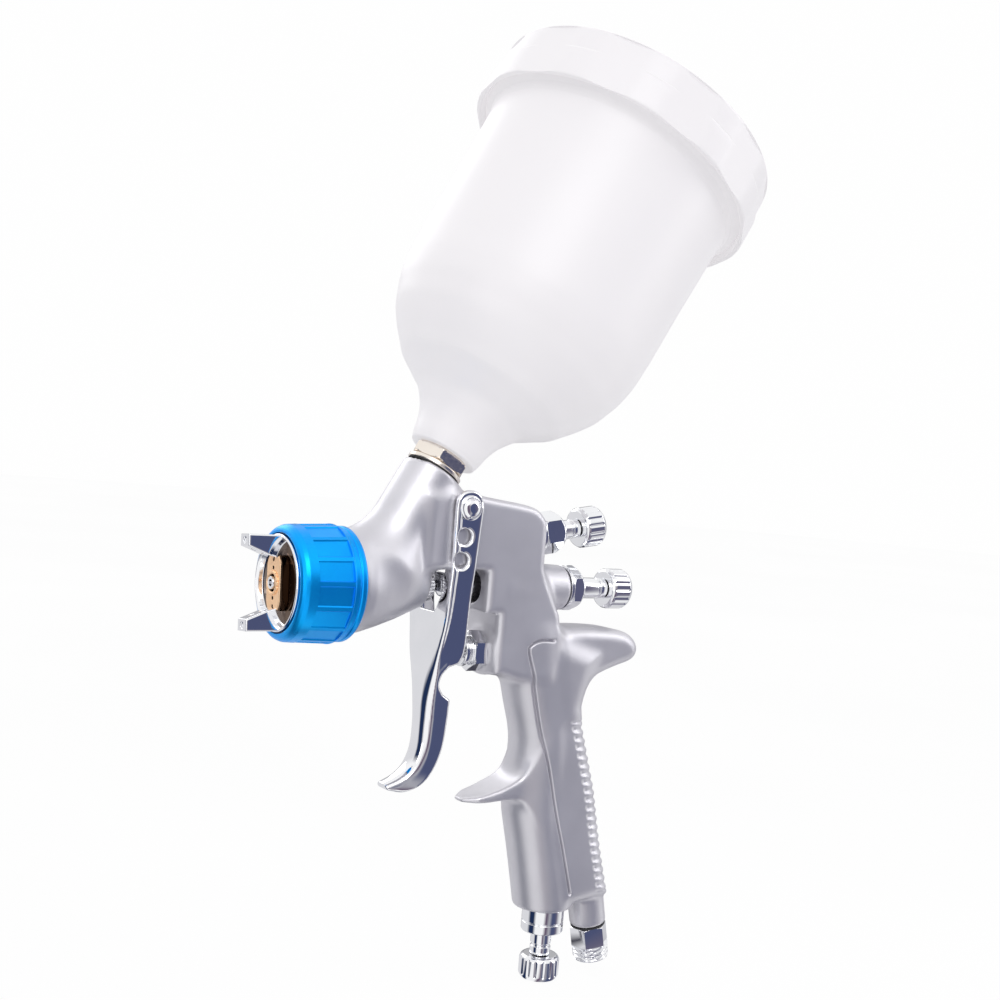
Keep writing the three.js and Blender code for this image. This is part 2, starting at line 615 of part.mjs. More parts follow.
function buildCheaterValve() {
  const bush = joined(bar(5.1, -14, 1), bar(7.5, GAP, 4.8, 24), bar(7.2, 4.6, 5.4, 24),
    bar(7.5, 5.2, 8.6, 24));
  add(cheaterAxis, 'cheater_bush', geometryOf(cut(bush, bar(4, -16, 10))), 'chrome');
  add(cheaterAxis, 'cheater_stem', controlStem(3.7, -20, 17.2), 'chrome');
  add(cheaterAxis, 'cheater_stem_seal', sleeve(3.8, 5.1, -17, -15.5), 'rubber');
  add(cheaterAxis, 'cheater_knob', flutedKnob(17.2, 25.5, KNOB_RADIUS, 2.4, 22.2), 'chrome');
}

function inletConnector() {
  const threads = [];
  for (let y = 8.5; y < 12; y += 1.5) {
    threads.push([5.9, y], [6.5, y + 0.5], [6.5, y + 0.9], [5.9, y + 1.4]);
  }
  const shape = joined(
    bar(4.6, -12, 1), turned([[0, 0.7], [6.9, 0.7], [6.9, 8.2], [0, 8.2]], HEX),
    turned([[0, 8], [5.9, 8], ...threads, [5.6, 13.2], [0, 13.2]], 16),
  );
  return geometryOf(cut(shape, bar(3.6, -14, 17)));
}

function buildAirInlet() {
  add(inletAxis, 'inlet_washer', sleeve(4.9, 6.3, 0.08, 0.6, 24), 'rubber');
  add(inletAxis, 'air_inlet', inletConnector(), 'chrome');
}

// ---------------------------------------------------------------- the assembly

add(gun, 'gun_body', geometryOf(gunBody()), 'casting');
buildSprayHead();
buildNeedle();
buildFluidControl();
buildFanControl();
buildTrigger();
buildAirValve();
buildCup();
buildCheaterValve();
buildAirInlet();

export default model;
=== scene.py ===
import json
import math

import bmesh
import bpy
import numpy as np
from mathutils import Matrix, Vector


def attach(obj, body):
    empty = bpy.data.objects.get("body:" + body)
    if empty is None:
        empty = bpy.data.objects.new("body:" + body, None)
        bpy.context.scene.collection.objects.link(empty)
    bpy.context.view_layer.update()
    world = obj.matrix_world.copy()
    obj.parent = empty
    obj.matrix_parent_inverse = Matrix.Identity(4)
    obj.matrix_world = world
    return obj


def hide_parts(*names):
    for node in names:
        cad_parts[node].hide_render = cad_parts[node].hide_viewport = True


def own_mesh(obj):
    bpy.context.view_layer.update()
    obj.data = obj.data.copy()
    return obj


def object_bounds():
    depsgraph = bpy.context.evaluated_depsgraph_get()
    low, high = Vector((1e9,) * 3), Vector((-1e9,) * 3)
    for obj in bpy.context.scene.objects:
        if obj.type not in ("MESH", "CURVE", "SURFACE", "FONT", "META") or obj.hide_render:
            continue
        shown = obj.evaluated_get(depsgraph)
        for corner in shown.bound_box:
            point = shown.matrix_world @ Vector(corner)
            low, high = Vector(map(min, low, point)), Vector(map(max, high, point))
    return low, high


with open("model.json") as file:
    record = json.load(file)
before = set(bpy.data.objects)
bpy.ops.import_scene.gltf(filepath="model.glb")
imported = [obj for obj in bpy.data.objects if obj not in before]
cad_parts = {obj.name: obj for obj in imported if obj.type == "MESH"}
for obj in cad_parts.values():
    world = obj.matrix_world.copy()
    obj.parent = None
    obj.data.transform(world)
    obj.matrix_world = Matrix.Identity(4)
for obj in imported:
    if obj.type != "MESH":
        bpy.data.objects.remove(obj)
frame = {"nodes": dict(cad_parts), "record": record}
CAD_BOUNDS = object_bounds()

# ---------- dimensions
# Millimetres, in the gun's own axes: +X along the needle towards the spray, +Y the gun's
# left, +Z up, with the origin below the trigger pivot on the needle axis.

GUN_ORIGIN = np.array([50.0, 0.0, 58.0])     # where those axes start, in the CAD frame
MM = 0.001

CUP_TILT = math.radians(30)
FAN_TILT = math.radians(8.9)
INLET_TILT = math.radians(12)
CUP_BASE = (8, 0, 37.8)
CUP_DIRECTION = (-math.sin(CUP_TILT), 0, math.cos(CUP_TILT))
FAN_BASE = (-34.8, 0, 18.3)
FAN_DIRECTION = (-math.cos(FAN_TILT), 0, math.sin(FAN_TILT))
FLUID_BOSS_END = -47.8
AIR_VALVE_Z = -22
CHEATER_BASE = (-52.7, 0, -114.3)
INLET_BASE = (-73.4, 0, -122.4)
INLET_DIRECTION = (-math.sin(INLET_TILT), 0, -math.cos(INLET_TILT))
PIVOT = (0, 0, 27)
HANDLE_BOTTOM = -114

# each axis: its origin and its direction
AXES = {
    "needle": ((0, 0, 0), (1, 0, 0)),
    "air": ((0, 0, AIR_VALVE_Z), (1, 0, 0)),
    "cup": (CUP_BASE, CUP_DIRECTION),
    "fluid": ((FLUID_BOSS_END, 0, 0), (-1, 0, 0)),
    "fan": (FAN_BASE, FAN_DIRECTION),
    "cheater": (CHEATER_BASE, (0, 0, -1)),
    "inlet": (INLET_BASE, INLET_DIRECTION),
    "pivot": (PIVOT, (0, 1, 0)),
}

# ---------- materials


def new_material(name):
    """A material with nodes: itself, its node tree and its shader."""
    material = bpy.data.materials.new(name)
    material.use_nodes = True
    tree = material.node_tree
    return material, tree, tree.nodes["Principled BSDF"]


def add_node(tree, kind, **inputs):
    """A shader node; an input is a value to set or another node's output to link."""
    node = tree.nodes.new("ShaderNode" + kind)
    for name, value in inputs.items():
        socket = node.inputs[name.replace("_", " ")]
        if isinstance(value, bpy.types.NodeSocket):
            tree.links.new(value, socket)
        else:
            socket.default_value = value
    return node


def add_noise(tree, scale, detail=4.0, stretch=(1, 1, 1)):
    """Noise in object space, with features of about 1 / scale metres."""
    place = add_node(tree, "TexCoord").outputs["Object"]
    mapping = add_node(tree, "Mapping", Vector=place, Scale=stretch)
    noise = add_node(tree, "TexNoise", Vector=mapping.outputs["Vector"], Scale=scale, Detail=detail)
    return noise.outputs["Fac"]


def add_ramp(tree, factor, stops):
    ramp = add_node(tree, "ValToRGB", Fac=factor)
    elements = ramp.color_ramp.elements
    while len(elements) < len(stops):
        elements.new(0.5)
    for element, (position, colour) in zip(elements, stops):
        element.position = position
        element.color = (*colour, 1)
    return ramp.outputs["Color"]


def add_finish(tree, shader, tone, colours, fine, roughness, bump_mm, strength=1.0):
    """Colour that wanders with one noise, and gloss and bump that follow a finer one."""
    dark, light = colours
    tree.links.new(add_ramp(tree, tone, [(0.3, dark), (0.7, light)]), shader.inputs["Base Color"])
    gloss = add_node(tree, "MapRange", Value=fine, From_Min=0.3, From_Max=0.7,
                     To_Min=roughness[0], To_Max=roughness[1])
    tree.links.new(gloss.outputs["Result"], shader.inputs["Roughness"])
    bump = add_node(tree, "Bump", Strength=strength, Distance=bump_mm * MM, Height=fine)
    tree.links.new(bump.outputs["Normal"], shader.inputs["Normal"])


def metal(name, dark, light, roughness, grain, bump_mm, metallic=1.0, stretch=(1, 1, 1),
          coat=0.0):
    """A metal whose tone and gloss wander a little, with a fine surface grain."""
    material, tree, shader = new_material(name)
    shader.inputs["Metallic"].default_value = metallic
    shader.inputs["Coat Weight"].default_value = coat
    shader.inputs["Coat Roughness"].default_value = 0.12
    tone = add_noise(tree, 60.0, 3.0)
    fine = add_noise(tree, grain, 5.0, stretch)
    add_finish(tree, shader, tone, (dark, light), fine, roughness, bump_mm)
    return material


def plastic(name, dark, light, roughness, subsurface=0.0, grain=900.0, bump_mm=0.01, glow=0.0):
    """A plastic; glow is painted light, an even emission that stands for light through a thin milky
    wall.
    """
    material, tree, shader = new_material(name)
    # painted light: the emission makes the part glow evenly and lifts its shaded sides
    shader.inputs["Emission Color"].default_value = (1, 0.99, 1, 1)
    shader.inputs["Emission Strength"].default_value = glow
    shader.inputs["Subsurface Weight"].default_value = subsurface
    shader.inputs["Subsurface Radius"].default_value = (1.0, 0.95, 0.9)
    shader.inputs["Subsurface Scale"].default_value = 0.006
    tone = add_noise(tree, 25.0, 2.0)
    fine = add_noise(tree, grain, 3.0)
    add_finish(tree, shader, tone, (dark, light), fine, roughness, bump_mm, 0.5)
    return material


MATERIALS = {
    "casting": metal("pearl_casting", (0.63, 0.62, 0.66), (0.69, 0.68, 0.72), (0.38, 0.46),
                     2600.0, 0.012, metallic=0.8, coat=0.08),
    "chrome": metal("chrome", (0.86, 0.87, 0.89), (0.92, 0.92, 0.94), (0.03, 0.09), 500.0, 0.002),
    "nickel": metal("nickel", (0.86, 0.79, 0.72), (0.93, 0.87, 0.8), (0.16, 0.26), 900.0, 0.002),
    "brass": metal("brass", (0.95, 0.6, 0.35), (1.0, 0.68, 0.42), (0.36, 0.46), 1500.0, 0.001,
                   metallic=0.7),
    "steel": metal("steel", (0.6, 0.6, 0.62), (0.7, 0.7, 0.73), (0.18, 0.3), 1200.0, 0.005),
    "blue": metal("anodised_blue", (0.0, 0.35, 0.98), (0.0, 0.42, 1.0), (0.32, 0.38),
                  1400.0, 0.0003, metallic=0.85, stretch=(1, 6, 6)),
    # painted shade: a near-black brownish mirror metal for the cap's recessed face and the bar's sides
    # and hole walls
    "dish": metal("dish_painted_shade", (0.07, 0.04, 0.025), (0.12, 0.075, 0.05), (0.06, 0.14), 600.0, 0.001),
    # the cup and lid: milky white, with a painted glow (glow 0.36) that evens out their shading
    "poly": plastic("milky_plastic_painted_glow", (0.45, 0.435, 0.45), (0.46, 0.445, 0.46), (0.36, 0.4), 0.0,
                    grain=6.0, bump_mm=0.0, glow=0.36),
    "nylon": plastic("nylon", (0.72, 0.73, 0.75), (0.8, 0.81, 0.83), (0.4, 0.55), 0.1),
    "rubber": plastic("rubber", (0.015, 0.015, 0.017), (0.03, 0.03, 0.033), (0.55, 0.75),
                      grain=1800.0, bump_mm=0.02),
}

# ---------- mesh helpers


def row_points(points):
    """Gun coordinates in millimetres to the CAD frame in metres."""
    return (np.asarray(points, dtype=float) + GUN_ORIGIN) * MM


def add_piece(name, points, faces, look, body, node=None, sharp=35.0):
    """A mesh from points in gun coordinates, smooth but for its sharp edges, on a CAD body."""
    mesh = bpy.data.meshes.new(name)
    mesh.from_pydata(row_points(points).tolist(), [], faces)
    work = bmesh.new()
    work.from_mesh(mesh)
    bmesh.ops.remove_doubles(work, verts=work.verts, dist=1e-6)
    bmesh.ops.dissolve_degenerate(work, edges=work.edges, dist=1e-7)
    bmesh.ops.recalc_face_normals(work, faces=work.faces)
    return finish_piece(name, mesh, work, look, body, node, sharp)


def finish_piece(name, mesh, work, look, body, node=None, sharp=35.0):
    """Marks the sharp edges, makes the object and says what it rides on and replaces."""
    limit = math.radians(sharp)
    for face in work.faces:
        face.smooth = True
    for edge in work.edges:
        edge.smooth = not (edge.is_manifold and edge.calc_face_angle(0.0) > limit)
    work.to_mesh(mesh)
    work.free()
    piece = bpy.data.objects.new(name, mesh)
    bpy.context.scene.collection.objects.link(piece)
    mesh.materials.append(MATERIALS[look])
    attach(piece, body)
    if node:
        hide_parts(node)
    return piece


def rounded(profile, radius, closed=True):
    """The profile with its corners rounded, by four points for each."""
    points = [np.array(p, dtype=float) for p in profile]
    count = len(points)
    result = []
    for i, here in enumerate(points):
        if not closed and i in (0, count - 1):
            result.append(tuple(here))
            continue
        before = points[i - 1] - here
        after = points[(i + 1) % count] - here
        first, second = np.linalg.norm(before), np.linalg.norm(after)
        bend = abs(before[0] * after[1] - before[1] * after[0]) / (first * second)
        if bend < 0.12:
            result.append(tuple(here))
            continue
        cut = min(radius, 0.42 * first, 0.42 * second)
        start, end = here + before / first * cut, here + after / second * cut
        for t in (0.0, 0.33, 0.67, 1.0):
            bow = (1 - t) ** 2 * start + 2 * t * (1 - t) * here + t * t * end
            result.append(tuple(bow))
    return result


def dense(profile, step, closed):
    """The profile with points added, so that no side is longer than step."""
    result = []
    ends = profile[1:] + (profile[:1] if closed else [])
    for (r0, t0), (r1, t1) in zip(profile, ends):
        pieces = max(1, int(math.ceil(math.hypot(r1 - r0, t1 - t0) / step)))
        for i in range(pieces):
            part = i / pieces
            result.append((r0 + (r1 - r0) * part, t0 + (t1 - t0) * part))
    return result if closed else result + [profile[-1]]


def axis_vectors(axis):
    """Origin, direction, and the two directions across an axis; a corner lies on the first."""
    origin, direction = AXES[axis]
    turn = Vector((0, 1, 0)).rotation_difference(Vector(direction))
    direction = np.array(direction, dtype=float)
    side = np.array(turn @ Vector((0, 0, 1)))
    return np.array(origin, dtype=float), direction, side, np.cross(direction, side)


def turned(name, profile, axis, look, body, node=None, steps=96, rounding=0.25,
           section=None, step=0.5, sharp=35.0):
    """A turned piece from (radius, height) points, from axis to axis or closed on itself.

    section(angle, height) limits the radius, which makes hexagons, flutes and threads."""
    open_ends = profile[0][0] == 0
    outline = rounded(profile, rounding, closed=not open_ends) if rounding else list(profile)
    if section:
        outline = dense(outline, step, closed=not open_ends)
    origin, direction, side, third = axis_vectors(axis)
    angles = np.arange(steps) * (2 * math.pi / steps)
    rings = []
    for radius, height in outline:
        radii = np.full(steps, float(radius))
        if section:
            radii = np.minimum(radii, section(angles, height))
        rings.append(origin + direction * height
                     + np.outer(radii * np.cos(angles), side)
                     + np.outer(radii * np.sin(angles), third))
    faces = []
    count = len(outline)
    for i in range(count if not open_ends else count - 1):
        j = (i + 1) % count
        for k in range(steps):
            m = (k + 1) % steps
            faces.append((i * steps + k, j * steps + k, j * steps + m, i * steps + m))
    return add_piece(name, np.concatenate(rings), faces, look, body, node, sharp)


NO_LIMIT = 1e3     # a radius that cuts nothing


def hexagon(corner, low, high, chamfer=0.5):
    """The radius limit of a hexagon between two heights, chamfered at its two ends."""
    flat = corner * math.cos(math.pi / 6)

    def limit(angles, height):
        if height < low - 1e-6 or height > high + 1e-6:
            return np.full_like(angles, NO_LIMIT)
        sides = flat / np.cos(np.mod(angles, math.pi / 3) - math.pi / 6)
        end = min(height - low, high - height)
        cone = flat + 0.1 + (end + 0.02) * (corner - flat) / chamfer * 1.2
        return np.minimum(sides, cone)

    return limit


def fluted(radius, low, high, count, depth):
    """The radius limit of a grip with round flutes along it."""
    def limit(angles, height):
        if height < low or height > high:
            return np.full_like(angles, NO_LIMIT)
        wave = 0.5 + 0.5 * np.cos(angles * count)
        fade = min(1.0, min(height - low, high - height) / 0.4)
        return radius - depth * fade * wave ** 5

    return limit

# ---------- solids from distance fields


def smooth_min(a, b, blend):
    if blend <= 0:
        return np.minimum(a, b)
    h = np.clip(blend - np.abs(a - b), 0, None) / blend
    return np.minimum(a, b) - h * h * (blend / 4)


def smooth_max(a, b, blend):
    return -smooth_min(-a, -b, blend)


def polygon_distance(u, v, points):
    """Signed distance to a closed outline, negative inside it."""
    nearest = None
    inside = None
    for (x0, y0), (x1, y1) in zip(points, points[1:] + points[:1]):
        ex, ey = x1 - x0, y1 - y0
        wx, wy = u - x0, v - y0
        along = np.clip((wx * ex + wy * ey) / (ex * ex + ey * ey), 0, 1)
        squared = (wx - ex * along) ** 2 + (wy - ey * along) ** 2
        crosses = np.zeros(squared.shape, dtype=bool)
        if y0 != y1:
            crosses = ((y0 > v) != (y1 > v)) & (u < ex * (v - y0) / ey + x0)
        nearest = squared if nearest is None else np.minimum(nearest, squared)
        inside = crosses if inside is None else inside ^ crosses
    return np.where(inside, -1, 1) * np.sqrt(nearest)


def rounded_meeting(a, b, rounding):
    """The distance to two walls that meet in a rounded edge, from those to walls set inward."""
    outside = np.hypot(np.maximum(a, 0), np.maximum(b, 0))
    return np.minimum(np.maximum(a, b), 0) + outside - rounding


def slab(outline, half_width, rounding):
    """A side view (x, z) extruded across the gun, with all its edges rounded."""
    def distance(x, y, z):
        across = np.abs(y) - half_width + rounding
        side = polygon_distance(x, z, outline) + rounding
        return rounded_meeting(side, across, rounding)

    return distance


def round_bar(start, end, radius, end_radius=None, rounding=0.0):
    """A round bar or cone between two points, with flat ends."""
    start, end = np.array(start, dtype=float), np.array(end, dtype=float)
    length = np.linalg.norm(end - start)
    way = (end - start) / length
    end_radius = radius if end_radius is None else end_radius

    def distance(x, y, z):
        dx, dy, dz = x - start[0], y - start[1], z - start[2]
        along = dx * way[0] + dy * way[1] + dz * way[2]
        off = np.sqrt(np.maximum(dx * dx + dy * dy + dz * dz - along * along, 0))
        wide = off - (radius + (end_radius - radius) * along / length) + rounding
        long = np.abs(along - length / 2) - length / 2 + rounding
        return rounded_meeting(wide, long, rounding)

    return distance


def swept(points, radii):
    """A round section swept along points, each with its own radius."""
    def distance(x, y, z):
        nearest = None
        for (p, r0), (q, r1) in zip(zip(points, radii), zip(points[1:], radii[1:])):
            p, q = np.array(p, dtype=float), np.array(q, dtype=float)
            way = q - p
            dx, dy, dz = x - p[0], y - p[1], z - p[2]
            along = (dx * way[0] + dy * way[1] + dz * way[2]) / way.dot(way)
            along = np.clip(along, 0, 1)
            gap = np.sqrt((dx - way[0] * along) ** 2 + (dy - way[1] * along) ** 2
                          + (dz - way[2] * along) ** 2) - (r0 + (r1 - r0) * along)
            nearest = gap if nearest is None else np.minimum(nearest, gap)
        return nearest

    return distance


def spline(points, count):
    """Evenly spread points of a Catmull-Rom curve through the given ones."""
    p = np.array(points, dtype=float)
    ends = np.vstack([2 * p[0] - p[1], p, 2 * p[-1] - p[-2]])
    result = []
    for t in np.linspace(0, len(p) - 1, count):
        i = min(int(t), len(p) - 2)
        f = t - i
        a, b, c, d = ends[i:i + 4]
        result.append(0.5 * (2 * b + (c - a) * f + (2 * a - 5 * b + 4 * c - d) * f ** 2
                             + (3 * b - a - 3 * c + d) * f ** 3))
    return [tuple(q) for q in result]


class Field:
    """A signed distance field on a regular grid in gun coordinates."""

    EMPTY = 50.0     # the distance where nothing has been merged yet

    def __init__(self, low, high, cell):
        self.cell = cell
        self.low = np.array(low, dtype=float)
        self.axes = [np.arange(lo, hi + cell, cell) for lo, hi in zip(low, high)]
        self.values = np.full([len(axis) for axis in self.axes], self.EMPTY)

    def block(self, low, high):
        """The index slices and open coordinates of a block of the grid."""
        where = []
        for axis, lo, hi in zip(self.axes, low, high):
            first = max(int(np.searchsorted(axis, lo)) - 1, 0)
            where.append(slice(first, int(np.searchsorted(axis, hi)) + 1))
        coordinates = [axis[part] for axis, part in zip(self.axes, where)]
        return tuple(where), np.meshgrid(*coordinates, indexing="ij", sparse=True)

    def merge(self, shape, low, high, blend=0.0):
        where, (x, y, z) = self.block(low, high)
        self.values[where] = smooth_min(self.values[where], shape(x, y, z), blend)

    def carve(self, shape, low, high, blend=0.0):
        where, (x, y, z) = self.block(low, high)
        self.values[where] = smooth_max(self.values[where], -shape(x, y, z), blend)

    def soften(self, rounds):
        """Averages each grid node with its neighbours, which rounds every sharp line a little."""
        for _ in range(rounds):
            for axis in range(3):
                low, high = np.roll(self.values, 1, axis), np.roll(self.values, -1, axis)
                self.values = (low + 2 * self.values + high) / 4

    def sample(self, points):
        """The field at any points, between grid nodes."""
        place = (points - self.low) / self.cell
        top = np.array(self.values.shape) - 2
        base = np.clip(np.floor(place).astype(int), 0, top)
        part = np.clip(place - base, 0, 1)
        total = np.zeros(len(points))
        for corner in np.ndindex(2, 2, 2):
            weight = np.prod(np.where(corner, part, 1 - part), axis=1)
            i, j, k = (base + corner).T
            total += weight * self.values[i, j, k]
        return total

    def slope(self, points, reach):
        """The unit direction in which the field grows fastest."""
        result = np.empty_like(points)
        for axis in range(3):
            offset = np.zeros(3)
            offset[axis] = reach
            result[:, axis] = self.sample(points + offset) - self.sample(points - offset)
        return result / np.maximum(np.linalg.norm(result, axis=1, keepdims=True), 1e-9)

    def settle(self, points, rounds=3):
        """Moves points onto the surface."""
        for _ in range(rounds):
            points = points - self.slope(points, self.cell * 0.6) * self.sample(points)[:, None]
        return points

    def surface(self):
        """The zero surface as points and quads, one point in each cell that it crosses."""
        inside = self.values < 0
        corners = np.zeros(np.array(inside.shape) - 1, dtype=np.int8)
        for di, dj, dk in np.ndindex(2, 2, 2):
            corners += inside[di:di + corners.shape[0], dj:dj + corners.shape[1],
                              dk:dk + corners.shape[2]]
        cells = np.argwhere((corners > 0) & (corners < 8))
        index = np.full(corners.shape, -1)
        index[tuple(cells.T)] = np.arange(len(cells))
        points = self.low + (cells + self.crossings(cells)) * self.cell
        quads = []
        for axis in range(3):
            quads.append(self.axis_quads(inside, index, axis))
        return self.settle(points), np.concatenate(quads)

    def crossings(self, cells):
        """The mean place, within each cell, where the surface cuts its edges."""
        total = np.zeros((len(cells), 3))
        hits = np.zeros(len(cells))
        for axis in range(3):
            for da, db in np.ndindex(2, 2):
                start = np.zeros(3, dtype=int)
                start[(axis + 1) % 3] = da
                start[(axis + 2) % 3] = db
                end = start.copy()
                end[axis] = 1
                f0 = self.values[tuple((cells + start).T)]
                f1 = self.values[tuple((cells + end).T)]
                cut = (f0 < 0) != (f1 < 0)
                part = np.where(cut, f0 / np.where(cut, f0 - f1, 1), 0)
                total[cut] += start + np.outer(part[cut], end - start)
                hits += cut
        return total / hits[:, None]

    @staticmethod
    def axis_quads(inside, index, axis):
        """A quad round each grid edge along one axis that the surface cuts."""
        b, c = (axis + 1) % 3, (axis + 2) % 3
        lower = np.moveaxis(inside, axis, 0)[:-1]
        upper = np.moveaxis(inside, axis, 0)[1:]
        change = np.moveaxis(lower != upper, 0, axis)
        nodes = np.argwhere(change)
        size = np.array(index.shape)
        keep = (nodes[:, b] > 0) & (nodes[:, c] > 0)
        keep &= (nodes[:, b] < size[b]) & (nodes[:, c] < size[c])
        nodes = nodes[keep]
        eb = np.eye(3, dtype=int)[b]
        ec = np.eye(3, dtype=int)[c]
        around = [nodes - eb - ec, nodes - ec, nodes, nodes - eb]
        quads = np.stack([index[tuple(cell.T)] for cell in around], axis=1)
        outward = inside[tuple(nodes.T)]
        quads[~outward] = quads[~outward][:, ::-1]
        return quads

# ---------- the casting

GROOVE = [(-39.9, -17.1), (-34.3, -17), (-30.7, -18.5), (-29.7, -21.1), (-32.8, -30.6),
          (-37.3, -46.8), (-42.3, -61.8), (-47.5, -79.7), (-51.4, -91.7), (-56.1, -107.5)]
HEAD = ((-48, -18, -30), (53, 18, 42))     # the block that holds the barrel and the cup boss
GROOVE_PATH = spline(GROOVE, 60)
GROOVE_DEPTH, GROOVE_WIDTH = 1.3, 0.45
BEAD_HEIGHT, BEAD_WIDTH, BEAD_OFFSET = 0.45, 0.55, 1.3
RIB_PITCH = 3.15
RIB_DEPTH = 0.5
RIB_TOP, RIB_BOTTOM = -45.5, -108.5
BACK_LINE = [(-75.4, -112), (-74.4, -107), (-69.8, -91), (-65.1, -71), (-58.2, -50),
             (-54.4, -41)]


def along_axis(axis, height):
    origin, direction, _, _ = axis_vectors(axis)
    return tuple(origin + direction * height)


def build_casting():
    """The whole casting as one blended solid, then its grooves, ribs and bores."""
    field = Field((-84, -18, -128), (53, 18, 42), 0.5)
    add_barrel(field)
    cup_foot = along_axis("cup", -33)
    field.merge(round_bar(cup_foot, CUP_BASE, 10.6, 10.2, 0.4), *HEAD, 13)
    housing = spline([(14, 30), (2, 32), (-10, 30.6), (-25, 28.8), (-30.5, 27), (-34, 23.4)], 14)
    housing += [(-34.2, 8), (-36.5, 2), (-42.5, -9), (-43.5, -24), (-40, -31), (-27, -31),
                (-20, -28.8), (-16.6, -28.8), (-16.6, -8.2), (-11, -8.2), (-11, 6.2), (14, 6.2)]
    field.merge(slab(housing, 10.5, 2.4), (-48, -18, -40), (30, 18, 42), 4)
    front = spline([(-36.5, 0, -18), (-38.1, 0, -31), (-43, 0, -47), (-44.2, 0, -56),
                    (-43.4, 0, -66), (-43.2, 0, -76), (-46.1, 0, -88), (-49.6, 0, -103),
                    (-53.6, 0, -122)], 18)
    field.merge(swept(front, [10.5] * len(front)), (-66, -18, -128), (-20, 18, -4), 3.5)
    foot = slab([(-70, -140), (-30, -140), (-30, HANDLE_BOTTOM), (-64, HANDLE_BOTTOM)], 40, 0)
    field.carve(foot, (-84, -18, -128), (-30, 18, -108), 1.5)
    panel = [(-40, -50), (-44, -85), (-52, -113.6), (-76.2, -110.6)]
    panel += [(x - 0.8, z) for x, z in BACK_LINE[1:]] + [(-60, -23), (-42, -17), (-36, -28)]
    field.merge(slab(panel, 10.5, 6.0), (-84, -18, -122), (-32, 18, -10), 1.5)
    rest = spline([(-42, -14), (-54, -13.3), (-67.5, -13.8), (-75, -15.2), (-79, -18.2),
                   (-80, -21.8), (-77.6, -25.2), (-70, -27.6), (-62, -30.8), (-57, -36),
                   (-55.5, -46)], 28)
    field.merge(slab(rest + [(-46, -46)], 9.4, 4.2), (-84, -18, -58), (-32, 18, -4), 5)
    add_hook(field)
    field.merge(round_bar((-20, 0, 0), (FLUID_BOSS_END, 0, 0), 9.2, 7.9, 0.5),
                (-54, -18, -16), (-14, 18, 16), 2.5)
    field.merge(round_bar((-36, 0, AIR_VALVE_Z), (-16.6, 0, AIR_VALVE_Z), 7.4, rounding=0.4),
                (-48, -18, -44), (-8, 18, -2), 4)
    field.merge(round_bar(along_axis("inlet", -24), INLET_BASE, 6.6, rounding=0.4),
                (-84, -12, -128), (-54, 12, -92), 2)
    field.soften(2)
    carve_bores(field)
    points, quads = field.surface()
    carve_relief(field, points, quads)


def add_hook(field):
    """The thin curved blade in front of the handle, dished on top."""
    top = spline([(-44, -52), (-40, -57), (-35, -63.6), (-30.5, -66.7), (-24, -69.2),
                  (-18, -70.8), (-11.6, -72)], 16)
    low = spline([(-12.4, -73.2), (-20, -73.4), (-28, -72.8), (-34, -73.6), (-40, -79),
                  (-44, -84)], 14)
    side = top + low

    def blade(x, y, z):
        dip = 0.5 * (1 - (y / 8.0) ** 2)
        edge = np.abs(y) - np.interp(x, [-44, -26, -17, -11.4], [8.6, 7.6, 6.4, 2.4])
        return smooth_max(polygon_distance(x, z + dip, side), edge, 1.6)

    field.merge(blade, (-56, -18, -92), (-7, 18, -44), 3)


def add_barrel(field):
    profile = [(9.9, 0), (9.9, 7.2), (14.5, 9), (20.5, 11.4), (28, 13.9), (34, 15.6),
               (38.2, 16.2), (38.2, 15.6), (40, 15.6), (40, 0)]

    def shape(x, y, z):
        return polygon_distance(x + 0 * y * z, np.sqrt(y * y + z * z) + 0 * x, profile)

    field.merge(shape, *HEAD)
    field.merge(round_bar((39, 0, 0), (50, 0, 0), 15.6), (38, -18, -18), (52, 18, 18))


def carve_bores(field):
    """The bores that the moving pieces run in, the screw sockets and the pivot hole."""
    bores = [     # axis, start and end along it, radius
        ("needle", 5, 60, 3.4),
        ("needle", 5, 17.4, 5.3),
        ("needle", -50, -8, 5.6),
        ("needle", 40.6, 60, 6.6),
        ("air", -57, -12, 5.9),
        ("fan", -18, 6, 5.3),
        ("fluid", -4, 6, 6.4),
        ("cup", -14.5, 5, 7.3),
        ("cup", -34, -14, 3.6),
        ("cheater", -22, 6, 5.4),
        ("inlet", -18, 6, 4.9),
        ("pivot", -20, 20, 3.3),
    ]
    for axis, first, last, radius in bores:
        start, end = along_axis(axis, first), along_axis(axis, last)
        margin = radius + 2
        low = [min(a, b) - margin for a, b in zip(start, end)]
        high = [max(a, b) + margin for a, b in zip(start, end)]
        field.carve(round_bar(start, end, radius), low, high)


def groove_depth(offset):
    """Depth of the moulded double line beside the panel, across its width."""
    line = GROOVE_DEPTH * np.exp(-(offset / GROOVE_WIDTH) ** 2)
    bead = -BEAD_HEIGHT * np.exp(-((offset + BEAD_OFFSET) / BEAD_WIDTH) ** 2)
    return line + bead


def signed_offset(points, path):
    """Distance from (x, z) points to an open path, positive behind it."""
    best = np.full(len(points), 1e9)
    signed = np.full(len(points), 1e9)
    for p, q in zip(path, path[1:]):
        p, q = np.array(p), np.array(q)
        way = q - p
        along = np.clip(((points - p) @ way) / way.dot(way), 0, 1)
        gap = points - p - along[:, None] * way
        size = np.linalg.norm(gap, axis=1)
        side = np.sign(way[0] * gap[:, 1] - way[1] * gap[:, 0])
        nearer = size < best
        best[nearer] = size[nearer]
        signed[nearer] = (size * -side)[nearer]
    return signed


